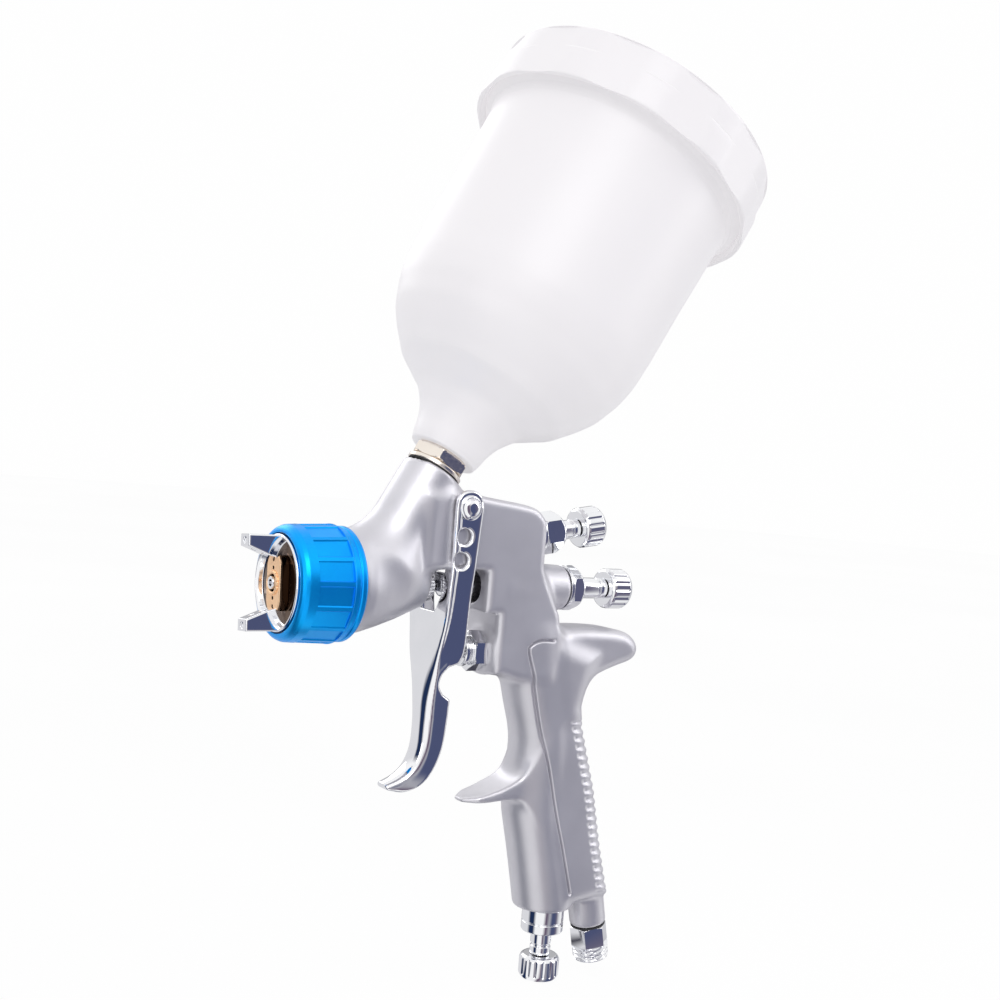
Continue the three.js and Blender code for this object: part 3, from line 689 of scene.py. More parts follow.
def carve_relief(field, points, quads):
    """Refines the casting near its moulded lines and ribs, and presses them in."""
    work = bmesh.new()
    vertices = [work.verts.new(p) for p in points]
    for quad in quads:
        work.faces.new([vertices[i] for i in quad])
    for cuts, chooser in ((1, near_ribs), (2, near_groove)):
        centres = np.array([face.calc_center_median() for face in work.faces])
        chosen = chooser(centres)
        edges = {edge for face, use in zip(work.faces, chosen) if use for edge in face.edges}
        ordered = [edge for edge in work.edges if edge in edges]
        bmesh.ops.subdivide_edges(work, edges=ordered, cuts=cuts, use_grid_fill=True)
    places = np.array([vertex.co for vertex in work.verts])
    places = field.settle(places, 2)
    normals = field.slope(places, 0.6)
    depth = relief_depth(places, normals)
    places = row_points(places - normals * depth[:, None])
    for vertex, place in zip(work.verts, places):
        vertex.co = place
    bmesh.ops.recalc_face_normals(work, faces=work.faces)
    mesh = bpy.data.meshes.new("casting")
    finish_piece("casting", mesh, work, "casting", "gun", "gun_body", sharp=60.0)


def near_groove(centres):
    offset = np.abs(signed_offset(centres[:, [0, 2]], GROOVE_PATH))
    return (offset < 2.6) & (np.abs(centres[:, 1]) > 7.5)


def rib_mask(places):
    """How far behind the handle's middle each place is, from 0 on the panel to 1 on the back."""
    back = np.interp(places[:, 2], [p[1] for p in BACK_LINE], [p[0] for p in BACK_LINE])
    inward = places[:, 0] - back
    ends = np.clip(np.minimum(places[:, 2] - RIB_BOTTOM, RIB_TOP - places[:, 2]) / 0.8, 0, 1)
    return np.clip((6.8 - inward) / 1.2, 0, 1) * ends


def near_ribs(centres):
    return rib_mask(centres) > 0


def relief_depth(places, normals):
    """How deep each place is pressed in; a negative depth stands out."""
    offset = signed_offset(places[:, [0, 2]], GROOVE_PATH)
    sides = np.clip((np.abs(places[:, 1]) - 7.2) / 1.5, 0, 1) * (np.abs(normals[:, 1]) > 0.3)
    lines = groove_depth(offset) * sides
    phase = (RIB_TOP - places[:, 2]) / RIB_PITCH
    wave = 0.5 + 0.5 * np.cos(2 * math.pi * phase)
    ribs = RIB_DEPTH * wave * rib_mask(places)
    return np.maximum(lines, ribs)

# ---------- the trigger

ARM_OUTER = 12.6
ARM_THICKNESS = 1.5


def trigger_front():
    """The front edge, from the tip of the finger curl up to the pivot."""
    return spline([(18.6, -65.4), (13.2, -63), (9.5, -59.6), (7.4, -54), (7, -46), (7.4, -36),
                   (7.3, -24), (6.2, -12), (5.7, 0), (5.2, 10), (5.3, 20), (5.4, 27)], 90)


def trigger_outline():
    rear = spline([(-5.8, 27), (-4.6, 10), (-3.6, -4), (-4.4, -20), (-3.2, -25)], 20)
    notch = spline([(0.6, -26.4), (2.4, -29), (2.6, -32.5), (0.6, -35.6)], 12)
    finger = spline([(-2.6, -37.6), (-2.6, -45), (-1.6, -54), (1, -61), (5, -66.3),
                     (11, -68.6), (17.4, -67.4)], 60)
    crown = spline([(5.0, 29.6), (3.8, 31.5), (2, 32.5), (0, 32.8), (-2, 32.5), (-3.8, 31.5),
                    (-5.3, 29.6)], 20)
    return rear + notch + finger + trigger_front() + crown


TRIGGER_TAPER = spline([(12, ARM_OUTER), (2, ARM_OUTER), (-8, 11.9), (-22, 9.5), (-34, 6.6),
                        (-44, 5.4), (-60, 5), (-66, 4.1), (-70, 2.6)], 80)
TRIGGER_BOW = spline([(0, 0), (-8, 0.5), (-20, 1.6), (-34, 3.6), (-46, 4), (-60, 3.4),
                      (-72, 2.4)], 60)


def by_height(table, z):
    """The value that a table of (height, value) points gives at each height."""
    return np.interp(z, [p[0] for p in reversed(table)], [p[1] for p in reversed(table)])


def tabled(outline, low, high, cell=0.2):
    """The distance to a fine outline, worked out once on a grid and read between its nodes."""
    across = np.arange(low[0], high[0], cell)
    along = np.arange(low[1], high[1], cell)
    table = polygon_distance(across[:, None], along[None, :], outline)

    def distance(u, v):
        u = np.clip((u - low[0]) / cell, 0, len(across) - 1.01)
        v = np.clip((v - low[1]) / cell, 0, len(along) - 1.01)
        i, j = u.astype(int), v.astype(int)
        fu, fv = u - i, v - j
        near = table[i, j] * (1 - fu) + table[i + 1, j] * fu
        far = table[i, j + 1] * (1 - fu) + table[i + 1, j + 1] * fu
        return near * (1 - fv) + far * fv

    return distance


def trigger_shell():
    """Two flat arms that run into one bowed, hollow finger plate."""
    low, high = (-10, -74), (23, 37)
    outline = tabled(trigger_outline(), low, high)
    behind = [(-60, 60), (-60, -90), (24, -90), (24, -65.4)]
    front_side = tabled(trigger_front() + [(5.4, 60)] + behind, low, high)

    def shape(x, y, z):
        half = by_height(TRIGGER_TAPER, z)
        across = np.clip(np.abs(y) / half, 0, 1)
        bow = by_height(TRIGGER_BOW, z) * (1 - np.sqrt(1 - 0.94 * across ** 2))
        side = outline(x, z)
        front = front_side(x, z) + bow
        border = np.clip((side + 2.3) / 0.5, 0, 1)
        border = border * np.clip(np.maximum((x - 0.5) / 1.0, (z - 29.5) / 1.0), 0, 1)
        rim = 0.5 * border * np.clip((z + 30) / 20, 0, 1)
        shell = smooth_max(smooth_max(side, front, 0.5), np.abs(y) - half - rim, 1.1)
        open_top = np.minimum(front + ARM_THICKNESS, 9 - z)
        hollow = np.maximum(open_top, np.abs(y) - half + ARM_THICKNESS)
        return smooth_max(shell, -np.maximum(hollow, -61 - z), 0.5)

    return shape


def trigger_cuts(x, y, z):
    saddle = [(-8, 9), (-8, -1), (-4.4, -8), (4.4, -8), (8, -1), (8, 9)]
    gap = polygon_distance(y, z, saddle)
    pin = np.hypot(x - PIVOT[0], z - PIVOT[2]) - 3.2
    flare = np.clip(np.abs(y) - ARM_OUTER + 0.7, 0, 1)
    upper = np.hypot(x - 0.8, z - 17.5) - 2.5 - flare
    lower = np.hypot(x - 1.5, z - 9.6) - 2.5 - flare
    return np.minimum(np.minimum(gap, pin), np.minimum(upper, lower))


def build_trigger():
    low, high = (-9, -15, -73), (22, 15, 36)
    field = Field(low, high, 0.3)
    field.merge(trigger_shell(), low, high)
    field.carve(trigger_cuts, low, high, 0.3)
    for side in (1, -1):
        lug = slab([(3.6, -1.5), (5.2, -1.5), (5.2, 5), (3.6, 5)], 4.65, 0.4)
        field.merge(lambda x, y, z, s=side: lug(x, y - s * 6.95, z), (2, -14, -4), (7, 14, 7), 0.5)
    field.soften(1)
    points, quads = field.surface()
    add_piece("trigger_shell", points, quads.tolist(), "chrome", "trigger", "trigger",
              sharp=50.0)


def build_pivot():
    face = ARM_OUTER + 0.35
    head = [(4.1, face), (4.1, face + 0.5), (3.5, face + 0.85), (3.3, face + 0.75),
            (2.6, face + 1.55), (1.6, face + 1.95), (0, face + 2.1)]
    screw = [(0, 2.5), (1.6, 2.5), (1.6, face)] + head
    turned("pivot_screw_head", screw, "pivot", "chrome", "gun", "pivot_screw", rounding=0.12)
    stud = [(r, -t) for r, t in reversed(head)]
    stud += [(2.9, -face), (2.9, ARM_OUTER), (1.9, ARM_OUTER), (1.9, 2), (0, 2)]
    turned("pivot_stud_head", stud, "pivot", "chrome", "gun", "pivot_stud", rounding=0.12)

# ---------- the spray head

PAD_COUNT = 15
PAD_HALF_ANGLE = math.radians(9.4)
PAD_FLOOR = 18.25
PAD_REAR, PAD_MIDDLE, PAD_FRONT = 43.9, 49.6, 55.5
RING_TAPER = 0.7 / 14.8
CAP_TURN = math.radians(5)
BAR_ROUNDING = 0.7


def pad_limit(angles, height):
    """The flat floors of the grip pads round the retaining ring."""
    if height < PAD_REAR or height > PAD_FRONT:
        return np.full_like(angles, NO_LIMIT)
    pitch = 2 * math.pi / PAD_COUNT
    off = np.mod(angles + pitch / 2, pitch) - pitch / 2
    floor = (PAD_FLOOR - (height - PAD_MIDDLE) * RING_TAPER) / np.cos(off)
    return np.where(np.abs(off) < PAD_HALF_ANGLE, floor, NO_LIMIT)


def build_ring():
    profile = [(17.2, 38.6), (17.9, 38.6), (18.5, 39.3), (18.5, 40.6), (18.2, 40.9), (18.2, 41.2),
               (18.5, 41.5), (18.5, 43.1), (19.1, 43.5), (19.1, 43.85), (19.1, 43.95),
               (18.6, 55.45), (18.6, 55.6), (18.4, 58.6), (17.9, 59.8), (17.2, 60.6),
               (16.4, 61), (15.8, 61), (15.8, 59.2), (17.2, 59.2)]
    turned("cap_ring", profile, "needle", "blue", "ring", "retaining_ring", steps=360,
           rounding=0.2, section=pad_limit, step=0.9, sharp=30.0)


def turned_cap(points):
    """Points of the air cap, turned about the needle axis as it sits in its ring."""
    points = np.asarray(points)
    y = points[:, 1] * math.cos(CAP_TURN) - points[:, 2] * math.sin(CAP_TURN)
    z = points[:, 1] * math.sin(CAP_TURN) + points[:, 2] * math.cos(CAP_TURN)
    return np.stack([points[:, 0], y, z], axis=1)


def build_cap():
    shell = [(13.2, 53.4), (15, 53.4), (15, 57.2), (16.8, 57.2), (16.8, 58.5), (15.3, 58.5),
             (15.3, 61.4), (15.0, 61.7), (14.6, 61.7), (14.1, 60.9), (13.7, 59.6), (13.2, 59.3)]
    turned("cap_rim", shell, "needle", "chrome", "air_cap", "air_cap", rounding=0.12)
    dish = [(2.8, 59.4), (9, 59.4), (9.2, 59.55), (9.6, 59.55), (9.8, 59.4), (13.6, 59.45),
            (13.4, 56.4), (6.4, 57.6), (4, 58.6), (2.8, 58.8)]
    # the recessed face takes the dark dish metal: painted shade
    turned("cap_dish", dish, "needle", "dish", "air_cap", rounding=0.08)
    crown = [(2.8, 61.5), (3.9, 61.5), (3.9, 62.9), (3.6, 63.1), (3.1, 63.1), (2.8, 62.8)]
    turned("cap_centre_ring", crown, "needle", "brass", "air_cap", rounding=0.1,
           section=fluted(3.9, 62.3, 63.4, 14, 0.45), step=0.2, steps=168)
    build_cap_bar()
    build_horns()


def build_cap_bar():
    """The brass bar across the cap's face, round-ended, with its air holes; its sides and hole walls
    are painted dark as shade.
    """
    low, high = (58.6, -6, -11), (63.2, 6, 11)
    field = Field(low, high, 0.16)

    def stadium(x, y, z):
        wide = np.hypot(y, np.maximum(np.abs(z) - 5, 0)) - 4.85 + BAR_ROUNDING
        tall = np.abs(x - 60.8) - 1.7 + BAR_ROUNDING
        return rounded_meeting(wide, tall, BAR_ROUNDING)

    field.merge(stadium, low, high)
    field.carve(round_bar((55, 0, 0), (66, 0, 0), 2.75), low, high, 0.25)
    for z in (4.7, -4.7, 7.3, -7.3):
        field.carve(round_bar((61, 0, z), (66, 0, z), 0.55), low, high, 0.2)
    points, quads = field.surface()
    bar = add_piece("cap_bar", turned_cap(points), quads.tolist(), "brass", "air_cap", sharp=50.0)
    # painted shade: every face not turned forward, the sides and the air holes' walls, takes the dark
    # dish metal
    bar.data.materials.append(MATERIALS["dish"])
    for face in bar.data.polygons:
        face.material_index = 0 if face.normal.x > 0.6 else 1


def build_horns():
    """Two air horns, with their angled holes aimed across the spray."""
    outline = [(58.8, 7.2), (62.5, 7.6), (66, 8.7), (72.4, 11.2), (72.4, 14.9), (58.8, 14.9)]
    low, high = (58.4, -4, 6.6), (73, 4, 15.6)
    for side, name in ((1, "upper"), (-1, "lower")):
        field = Field(low, high, 0.16)
        field.merge(slab(outline, 3.2, 0.55), low, high)
        field.carve(round_bar((67.5, 0, 12.5), (70.5, 0, 8.5), 0.75), low, high, 0.2)
        field.carve(round_bar((64, 0, 11.5), (67, 0, 7.5), 0.6), low, high, 0.2)
        field.carve(round_bar((71.9, 0, 13.1), (74, 0, 13.1), 1.1), low, high, 0.2)
        points, quads = field.surface()
        add_piece(f"cap_horn_{name}", turned_cap(points * (1, 1, side)), quads.tolist(),
                  "chrome", "air_cap", sharp=50.0)


def build_nozzle():
    profile = [(3, 41), (6.3, 41), (6.3, 50.4), (7.2, 50.9), (7.2, 53.6), (9.2, 54.2),
               (9.2, 55.8), (5, 56.6), (2.45, 58.6), (2.3, 61.2), (1.95, 63.4), (1.1, 63.4),
               (1.5, 60), (3, 56.4)]
    turned("nozzle_tip", profile, "needle", "chrome", "gun", "fluid_nozzle",
           rounding=0.12)
    needle = [(0, 63.1), (0.45, 62.9), (1.2, 60.3), (1.9, 57), (1.9, 20), (1.9, -36), (0, -36)]
    turned("needle_rod", needle, "needle", "steel", "needle", "fluid_needle", rounding=0.15)

# ---------- needle parts in the window


def build_window_parts():
    nut = [(2.3, 6.2), (4.7, 6.2), (5.1, 6.6), (5.1, 9.2), (4.7, 9.6), (4, 9.6), (4, 12.8),
           (2.3, 12.8)]
    turned("packing_gland", nut, "needle", "steel", "gun", "packing_nut", rounding=0.15,
           section=fluted(5.1, 6.5, 9.3, 24, 0.3), step=0.4, steps=192)
    sleeve = [(1.95, -4.6), (3.2, -4.6), (3.6, -4.2), (3.6, -2.6), (3.3, -2.4), (3.3, -1.6),
              (3.6, -1.4), (3.6, 1.4), (3.2, 1.8), (1.95, 1.8)]
    turned("needle_stop", sleeve, "needle", "chrome", "needle", "needle_sleeve", rounding=0.12)
    collar = [(1.95, -13.6), (3.6, -13.6), (3.6, -9.4), (4.6, -9.2), (5, -8.6), (5, -6.6),
              (4.6, -6), (4.4, -5.2), (4.1, -5), (1.95, -5)]
    turned("needle_clamp", collar, "needle", "steel", "needle", "needle_collar", rounding=0.15)
    body = [(2.1, -34), (5.6, -34), (5.6, -16.3), (7, -16.3), (7, -11), (5.2, -11), (5.2, -10.2),
            (4.8, -10), (4.8, -9.6), (5.2, -9.4), (5.2, -8.2), (4.8, -7.8), (2.1, -7.8)]
    turned("air_valve_gland", body, "air", "chrome", "gun", "air_valve_body", rounding=0.12,
           section=hexagon(7, -16.3, -11), step=0.25, steps=180)
    stem = [(0, -40.4), (1.6, -40.4), (1.6, 3.6), (1.2, 4.6), (0.6, 4.9), (0, 4.9)]
    turned("air_valve_rod", stem, "air", "steel", "air_stem", "air_valve_stem", rounding=0.1)


def coil_spring(name, axis, radius, wire, ends, turns, node):
    """A round wire wound round an axis, between two heights."""
    origin, direction, across, upward = axis_vectors(axis)
    start, end = ends
    sides, steps = 10, turns * 36
    points = []
    for i in range(steps + 1):
        turn = 2 * math.pi * turns * i / steps
        outward = across * math.cos(turn) + upward * math.sin(turn)
        height = start + wire + (end - start - 2 * wire) * i / steps
        for j in range(sides):
            around = 2 * math.pi * j / sides
            reach = radius + wire * math.cos(around)
            points.append(origin + direction * (height + wire * math.sin(around)) + outward * reach)
    faces = [list(range(sides)), list(range(steps * sides, (steps + 1) * sides))]
    for i in range(steps):
        for j in range(sides):
            k = (j + 1) % sides
            faces.append([i * sides + j, i * sides + k, (i + 1) * sides + k, (i + 1) * sides + j])
    piece = add_piece(name, np.array(points), faces, "steel", "gun", node, sharp=60.0)
    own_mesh(piece)


def build_springs():
    coil_spring("needle_coil", "needle", 3.6, 0.55, (-38.5, -14), 7, "needle_spring")
    coil_spring("air_valve_coil", "air", 3.6, 0.5, (-56.6, -39.2), 5, "air_valve_spring")

# ---------- screwed controls

KNOB_RADIUS = 7.2
KNOB_FLUTES = 16


def control_bush(name, axis, shank, hexagon_radius, head, bore, node):
    length = head - 2.4
    profile = [(bore, -shank[1]), (shank[0], -shank[1]), (shank[0], 0.3),
               (hexagon_radius - 0.2, 0.3), (hexagon_radius - 0.2, 1.5),
               (hexagon_radius - 0.9, 1.7), (hexagon_radius - 0.9, 2.1), (hexagon_radius, 2.2),
               (hexagon_radius, length), (bore + 1.6, head), (bore, head)]
    turned(name, profile, axis, "chrome", "gun", node, rounding=0.15,
           section=hexagon(hexagon_radius, 2.0, head + 1, 0.6), step=0.3, steps=180)


def control_stem(name, axis, radius, inner, knob, body, node):
    profile = [(0, inner), (radius - 1.6, inner), (radius, inner + 2.4), (radius, knob - 4.2),
               (radius - 0.5, knob - 4.0), (radius - 0.5, knob - 3.2), (radius, knob - 3.0),
               (radius, knob - 0.4), (2.1, knob - 0.4), (2.1, knob + 4.6), (0, knob + 4.6)]
    turned(name, profile, axis, "chrome", body, node, rounding=0.15)


def control_knob(name, axis, start, end, body, node):
    radius = KNOB_RADIUS
    profile = [(0, start + 5), (2.4, start + 5), (2.4, start), (radius - 1.2, start),
               (radius - 0.5, start + 0.5), (radius, start + 1.4), (radius, end - 1.5),
               (radius - 0.5, end - 0.6), (radius - 1.1, end), (radius - 2.4, end),
               (radius - 2.7, end - 0.35), (0, end - 0.35)]
    turned(name, profile, axis, "chrome", body, node, rounding=0.15,
           section=fluted(radius, start + 0.7, end - 1.3, KNOB_FLUTES, 0.42), step=0.35,
           steps=KNOB_FLUTES * 14)


def build_controls():
    control_bush("fluid_control_bush", "fluid", (6.1, 3), 8, 7.6, 4, "fluid_bush")
    control_stem("fluid_control_stem", "fluid", 3.7, -4, 19.5, "fluid_screw", "fluid_stem")
    control_knob("fluid_control_knob", "fluid", 19.5, 28.5, "fluid_screw", "fluid_knob")
    control_bush("fan_control_bush", "fan", (5, 8), 7.5, 10.8, 3.7, "fan_bush")
    control_stem("fan_control_stem", "fan", 3.4, -15, 18.8, "fan_screw", "fan_stem")
    control_knob("fan_control_knob", "fan", 18.8, 27.7, "fan_screw", "fan_knob")
    bands = [(4, -14), (5.1, -14), (5.1, 0.3), (7.5, 0.3), (7.5, 4.7), (7.1, 4.85), (7.1, 5.15),
             (7.5, 5.3), (7.5, 8.2), (7.1, 8.6), (4, 8.6)]
    turned("cheater_collar", bands, "cheater", "chrome", "gun", "cheater_bush", rounding=0.2)
    control_stem("cheater_control_stem", "cheater", 3.7, -20, 17.2, "cheater_screw",
                 "cheater_stem")
    control_knob("cheater_control_knob", "cheater", 17.2, 25.5, "cheater_screw", "cheater_knob")

# ---------- air inlet


THREAD_START, THREAD_END = 8.4, 13.0
THREAD_PITCH = 1.5
THREAD_CORE, THREAD_DEPTH = 5.85, 0.65


def thread_limit(angles, height):
    """A thread, cut as a helix, between two heights of the inlet connector."""
    if height < THREAD_START or height > THREAD_END:
        return np.full_like(angles, NO_LIMIT)
    phase = np.mod(height / THREAD_PITCH - angles / (2 * math.pi), 1.0)
    ridge = np.clip(1.4 - np.abs(phase - 0.5) * 4, 0, 1)
    fade = min(1.0, min(height - THREAD_START, THREAD_END - height) / 0.5)
    return THREAD_CORE + THREAD_DEPTH * ridge * fade


def build_inlet():
    profile = [(3.6, -12), (4.6, -12), (4.6, 0.7), (6.9, 0.7), (6.9, 8.2), (6.5, 8.3),
               (6.5, 12.6), (6.1, 13.2), (3.6, 13.2)]

    def limit(angles, height):
        if height <= 8.2:
            return hexagon(6.9, 0.7, 8.2, 0.5)(angles, height)
        return thread_limit(angles, height)

    turned("air_connector", profile, "inlet", "chrome", "gun", "air_inlet", rounding=0,
           section=limit, step=0.15, steps=216, sharp=50.0)

# ---------- cup and lid

LID_FACETS = 12
LID_RADIUS, SKIRT_RADIUS = 52.05, 52.9
LID_BOTTOM, LID_STEP, LID_TOP = 124.4, 136, 144.3
FLAT_DEPTH = 0.75


def build_adapter():
    profile = [(4.2, -12), (7, -12), (7, 0.5), (9.4, 0.5), (9.6, 0.7), (9.6, 1.7), (9.4, 1.9),
               (8.2, 1.9), (8.2, 2.2), (10.2, 2.2), (10.2, 6.3), (8.9, 6.3), (8.9, 6.7),
               (8.0, 6.7), (8.0, 13.1), (4.2, 13.1)]
    turned("cup_connector", profile, "cup", "nickel", "gun", "fluid_adapter", rounding=0.15,
           section=hexagon(10.2, 2.2, 6.3, 0.7), step=0.3, steps=180)


def build_cup():
    lower = [(11.6, 6.7), (12.5, 9.5), (13.4, 13.7), (14.9, 17.6), (17, 21), (19.6, 24.3),
             (23.1, 26.9), (26.6, 29.5), (30.1, 32), (32.8, 35.2), (35.4, 38.3), (37.8, 41.6),
             (39.9, 45), (41.5, 49), (43, 53), (44, 57.3), (44.7, 62), (45.2, 72)]
    outside = spline(lower, 60)[:-1]
    outside += [(45.2, 72), (45.5, 92), (46.2, 113), (46.5, 122.5), (47.4, 125), (50.4, 127),
                (50.4, 140.5)]
    inside = [(44.4, 140.5), (43.9, 120), (43.2, 80)]
    inside += spline([(42.8, 62), (41.4, 54), (38.6, 47.2), (33.6, 40.4), (25.4, 32.4),
                      (17.4, 25), (13.2, 19.6), (11.6, 15.4), (10.2, 13.6), (8.3, 13.4)], 36)
    inside += [(8.3, 6.7)]
    turned("cup_bowl", outside + inside, "cup", "poly", "gun", "cup", rounding=0.35,
           steps=160)
    strainer = [(0, 32), (5.2, 32), (5.6, 31.4), (6.4, 15), (8.9, 15), (8.9, 14), (5.6, 14),
                (4.8, 31.2), (0, 31.2)]
    turned("cup_strainer", strainer, "cup", "nylon", "gun", "paint_strainer", rounding=0.15,
           section=fluted(6.5, 15.2, 31, 24, 0.35), step=1.0, steps=192)


def lid_limit(angles, height):
    """Broad, shallow flats round the lid's side."""
    if height > LID_TOP or height < LID_BOTTOM:
        return np.full_like(angles, NO_LIMIT)
    pitch = 2 * math.pi / LID_FACETS
    off = np.mod(angles, pitch) - pitch / 2
    reach = SKIRT_RADIUS if height < LID_STEP else LID_RADIUS
    flat = (reach - FLAT_DEPTH) / np.cos(off)
    return np.minimum(reach, flat)


def build_lid():
    profile = [(2.6, 145.5), (12, 145.5), (30, 145.3), (46, 145.0), (49.5, 145.2), (50.6, 145.3),
               (51.8, 144.7), (LID_RADIUS, 143.8), (LID_RADIUS, 136.5), (SKIRT_RADIUS, 135.5),
               (SKIRT_RADIUS, 125.2), (52.6, 124.5), (51, 124.5), (51, 142.9), (2.6, 142.9)]
    turned("lid_shell", profile, "cup", "poly", "lid", "lid", rounding=0.5,
           section=lid_limit, step=3.0, steps=240, sharp=40.0)
    plug = [(0, 141.5), (2.2, 141.5), (2.2, 145.9), (5, 145.9), (5, 147.2), (4.2, 147.9),
            (2.5, 147.9), (2.2, 147.5), (0, 147.5)]
    turned("vent_button", plug, "cup", "nylon", "vent", "vent_plug", rounding=0.2)


def dress_cad_nodes():
    """The hidden inner pieces keep their CAD shape and take the same finishes."""
    looks = {row["node"]: row["material_slot"] for row in frame["record"]["subparts"]}
    for name, node in frame["nodes"].items():
        if node.hide_render:
            continue
        node.data.materials.clear()
        node.data.materials.append(MATERIALS[looks[name]])

# ---------- floor, light and camera


FLOOR_RADIUS = 4.0
FLOOR_GAP = 0.0005     # below the gun's lowest point


def build_stage():
    """A pale floor under the gun."""
    lowest = CAD_BOUNDS[0][2]
    work = bmesh.new()
    bmesh.ops.create_circle(work, cap_ends=True, segments=96, radius=FLOOR_RADIUS)
    bmesh.ops.translate(work, verts=work.verts, vec=(0, 0, lowest - FLOOR_GAP))
    mesh = bpy.data.meshes.new("floor")
    work.to_mesh(mesh)
    work.free()
    floor = bpy.data.objects.new("floor", mesh)
    bpy.context.scene.collection.objects.link(floor)
    mesh.materials.append(floor_material())


def add_cards(tree, coordinates):
    """Light and dark cards that stand round the gun, as streaks by the angle round +Z."""
    angle = add_node(tree, "TexGradient", Vector=coordinates)
    angle.gradient_type = "RADIAL"
    dark, blue, violet = (0.05, 0.05, 0.07), (0.015, 0.03, 0.085), (0.1, 0.06, 0.12)
    slate = (0.075, 0.09, 0.18)
    middle, light, white = (0.42, 0.42, 0.46), (0.76, 0.76, 0.78), (1.0, 1.0, 1.0)
    return add_ramp(tree, angle.outputs["Fac"], [
        (0.0, middle), (0.08, light), (0.16, dark), (0.23, light), (0.34, light), (0.42, light),
        (0.46, blue), (0.52, blue), (0.56, white), (0.67, white), (0.71, violet), (0.76, middle),
        (0.8, slate), (0.84, slate), (0.87, (0.14, 0.13, 0.2)), (0.92, light), (0.97, white),
        (1.0, middle)])


def add_shader_mix(tree, factor, first, second):
    mix = add_node(tree, "MixShader", Fac=factor)
    tree.links.new(first, mix.inputs[1])
    tree.links.new(second, mix.inputs[2])
    return mix.outputs["Shader"]


def floor_material():
    """Pale to the eye, with the cards' streaks where polished metal mirrors it."""
    material, tree, shader = new_material("pale_floor")
    tone = add_noise(tree, 3.0, 2.0)
    tree.links.new(add_ramp(tree, tone, [(0.3, (0.72, 0.72, 0.73)), (0.7, (0.74, 0.74, 0.75))]),
                   shader.inputs["Base Color"])
    shader.inputs["Roughness"].default_value = 0.7
    paths = add_node(tree, "LightPath")
    seen = tree.nodes.new("ShaderNodeMath")
    seen.operation = "MULTIPLY"
    seen.inputs[1].default_value = 0.97
    tree.links.new(paths.outputs["Is Camera Ray"], seen.inputs[0])
    plain = add_ramp(tree, tone, [(0.3, (0.99, 0.99, 0.99)), (0.7, (1.0, 1.0, 1.0))])
    cards = add_cards(tree, add_node(tree, "TexCoord").outputs["Object"])
    lit = shader.outputs["BSDF"]
    for factor, colour in ((seen.outputs["Value"], plain), (paths.outputs["Is Glossy Ray"], cards)):
        glow = add_node(tree, "Emission", Color=colour)
        lit = add_shader_mix(tree, factor, lit, glow.outputs["Emission"])
    tree.links.new(lit, tree.nodes["Material Output"].inputs["Surface"])
    return material


def add_light(name, place, size, power):
    """A soft area light aimed at the middle of the gun."""
    data = bpy.data.lights.new(name, "AREA")
    data.shape = "RECTANGLE"
    data.size, data.size_y = size
    data.energy = power
    light = bpy.data.objects.new(name, data)
    light.location = place
    aim = Vector(CAMERA_TARGET) - Vector(place)
    light.rotation_euler = aim.to_track_quat("-Z", "Y").to_euler()
    bpy.context.scene.collection.objects.link(light)


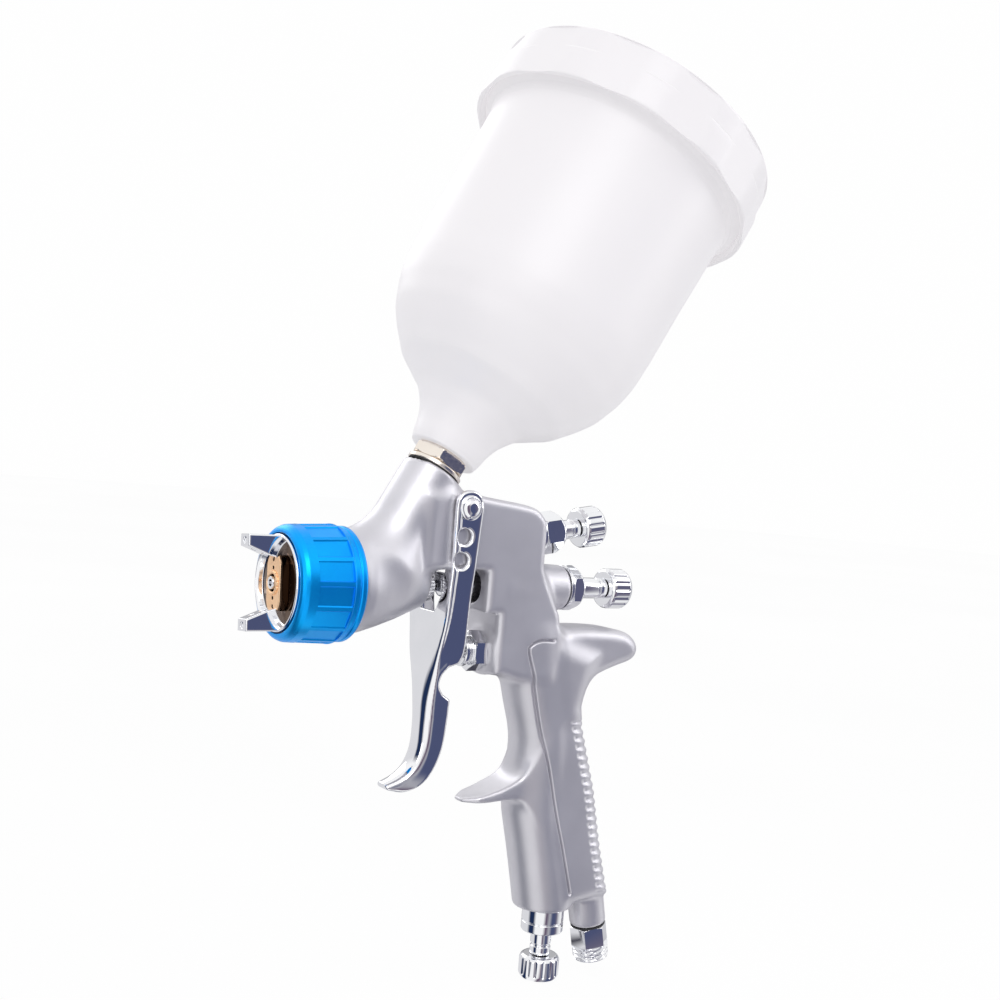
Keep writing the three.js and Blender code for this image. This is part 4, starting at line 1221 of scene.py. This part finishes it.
def build_world():
    """White where the camera looks; metal mirrors the cards, and white from well above."""
    world = bpy.data.worlds.new("studio")
    bpy.context.scene.world = world
    world.use_nodes = True
    tree = world.node_tree
    direction = add_node(tree, "TexCoord").outputs["Generated"]
    height = add_node(tree, "SeparateXYZ", Vector=direction).outputs["Z"]
    raised = add_node(tree, "MapRange", Value=height, From_Min=-1)
    above = add_ramp(tree, raised.outputs["Result"],
                     [(0.0, (0, 0, 0)), (0.62, (0, 0, 0)), (0.74, (1, 1, 1)), (1.0, (1, 1, 1))])
    room = add_node(tree, "MixRGB", Fac=above, Color1=add_cards(tree, direction),
                    Color2=(1, 1, 1, 1))
    background = tree.nodes["Background"]
    background.inputs["Strength"].default_value = 1.0
    tree.links.new(room.outputs["Color"], background.inputs["Color"])
    white = add_node(tree, "Background", Color=(0.995, 0.995, 0.995, 1))
    paths = add_node(tree, "LightPath")
    mix = add_shader_mix(tree, paths.outputs["Is Camera Ray"], background.outputs["Background"],
                         white.outputs["Background"])
    tree.links.new(mix, tree.nodes["World Output"].inputs["Surface"])


CAMERA_TARGET = (0.03016, 0, 0.08765)
CAMERA_DISTANCE = 0.4918
CAMERA_AZIMUTH = math.radians(34.19)     # towards +X from +Y's view of the gun's left side
CAMERA_ELEVATION = math.radians(1.96)
CAMERA_ROLL = math.radians(4.63)
CAMERA_LENS = 51.885


def build_camera():
    away = Vector((math.sin(CAMERA_AZIMUTH) * math.cos(CAMERA_ELEVATION),
                   math.cos(CAMERA_AZIMUTH) * math.cos(CAMERA_ELEVATION),
                   math.sin(CAMERA_ELEVATION)))
    right = Vector((-math.cos(CAMERA_AZIMUTH), math.sin(CAMERA_AZIMUTH), 0))
    up = away.cross(right)
    if up.z < 0:
        up = -up
    turned_right = right * math.cos(CAMERA_ROLL) + up * math.sin(CAMERA_ROLL)
    turned_up = up * math.cos(CAMERA_ROLL) - right * math.sin(CAMERA_ROLL)
    data = bpy.data.cameras.new("camera")
    data.lens = CAMERA_LENS
    data.sensor_width = 36
    data.clip_start = 0.01
    camera = bpy.data.objects.new("camera", data)
    rotation = Matrix((turned_right, turned_up, away)).transposed().to_4x4()
    camera.matrix_world = Matrix.Translation(Vector(CAMERA_TARGET) + away * CAMERA_DISTANCE) @ rotation
    bpy.context.scene.collection.objects.link(camera)
    bpy.context.scene.camera = camera


def build_lights():
    add_light("key", (0.5, 1.0, 0.9), (0.8, 0.8), 5.4)
    add_light("front", (1.2, 0.45, 0.1), (0.3, 0.9), 1.3)
    add_light("rear", (-0.9, 0.6, 0.5), (0.3, 0.9), 2.2)
    add_light("far_side", (0.2, -1.2, 0.7), (0.9, 0.6), 2.5)

# ---------- the whole


build_casting()
build_trigger()
build_pivot()
build_ring()
build_cap()
build_nozzle()
build_window_parts()
build_springs()
build_controls()
build_inlet()
build_adapter()
build_cup()
build_lid()
dress_cad_nodes()
build_stage()
build_world()
build_camera()
build_lights()
bpy.context.scene.view_settings.view_transform = "Standard"
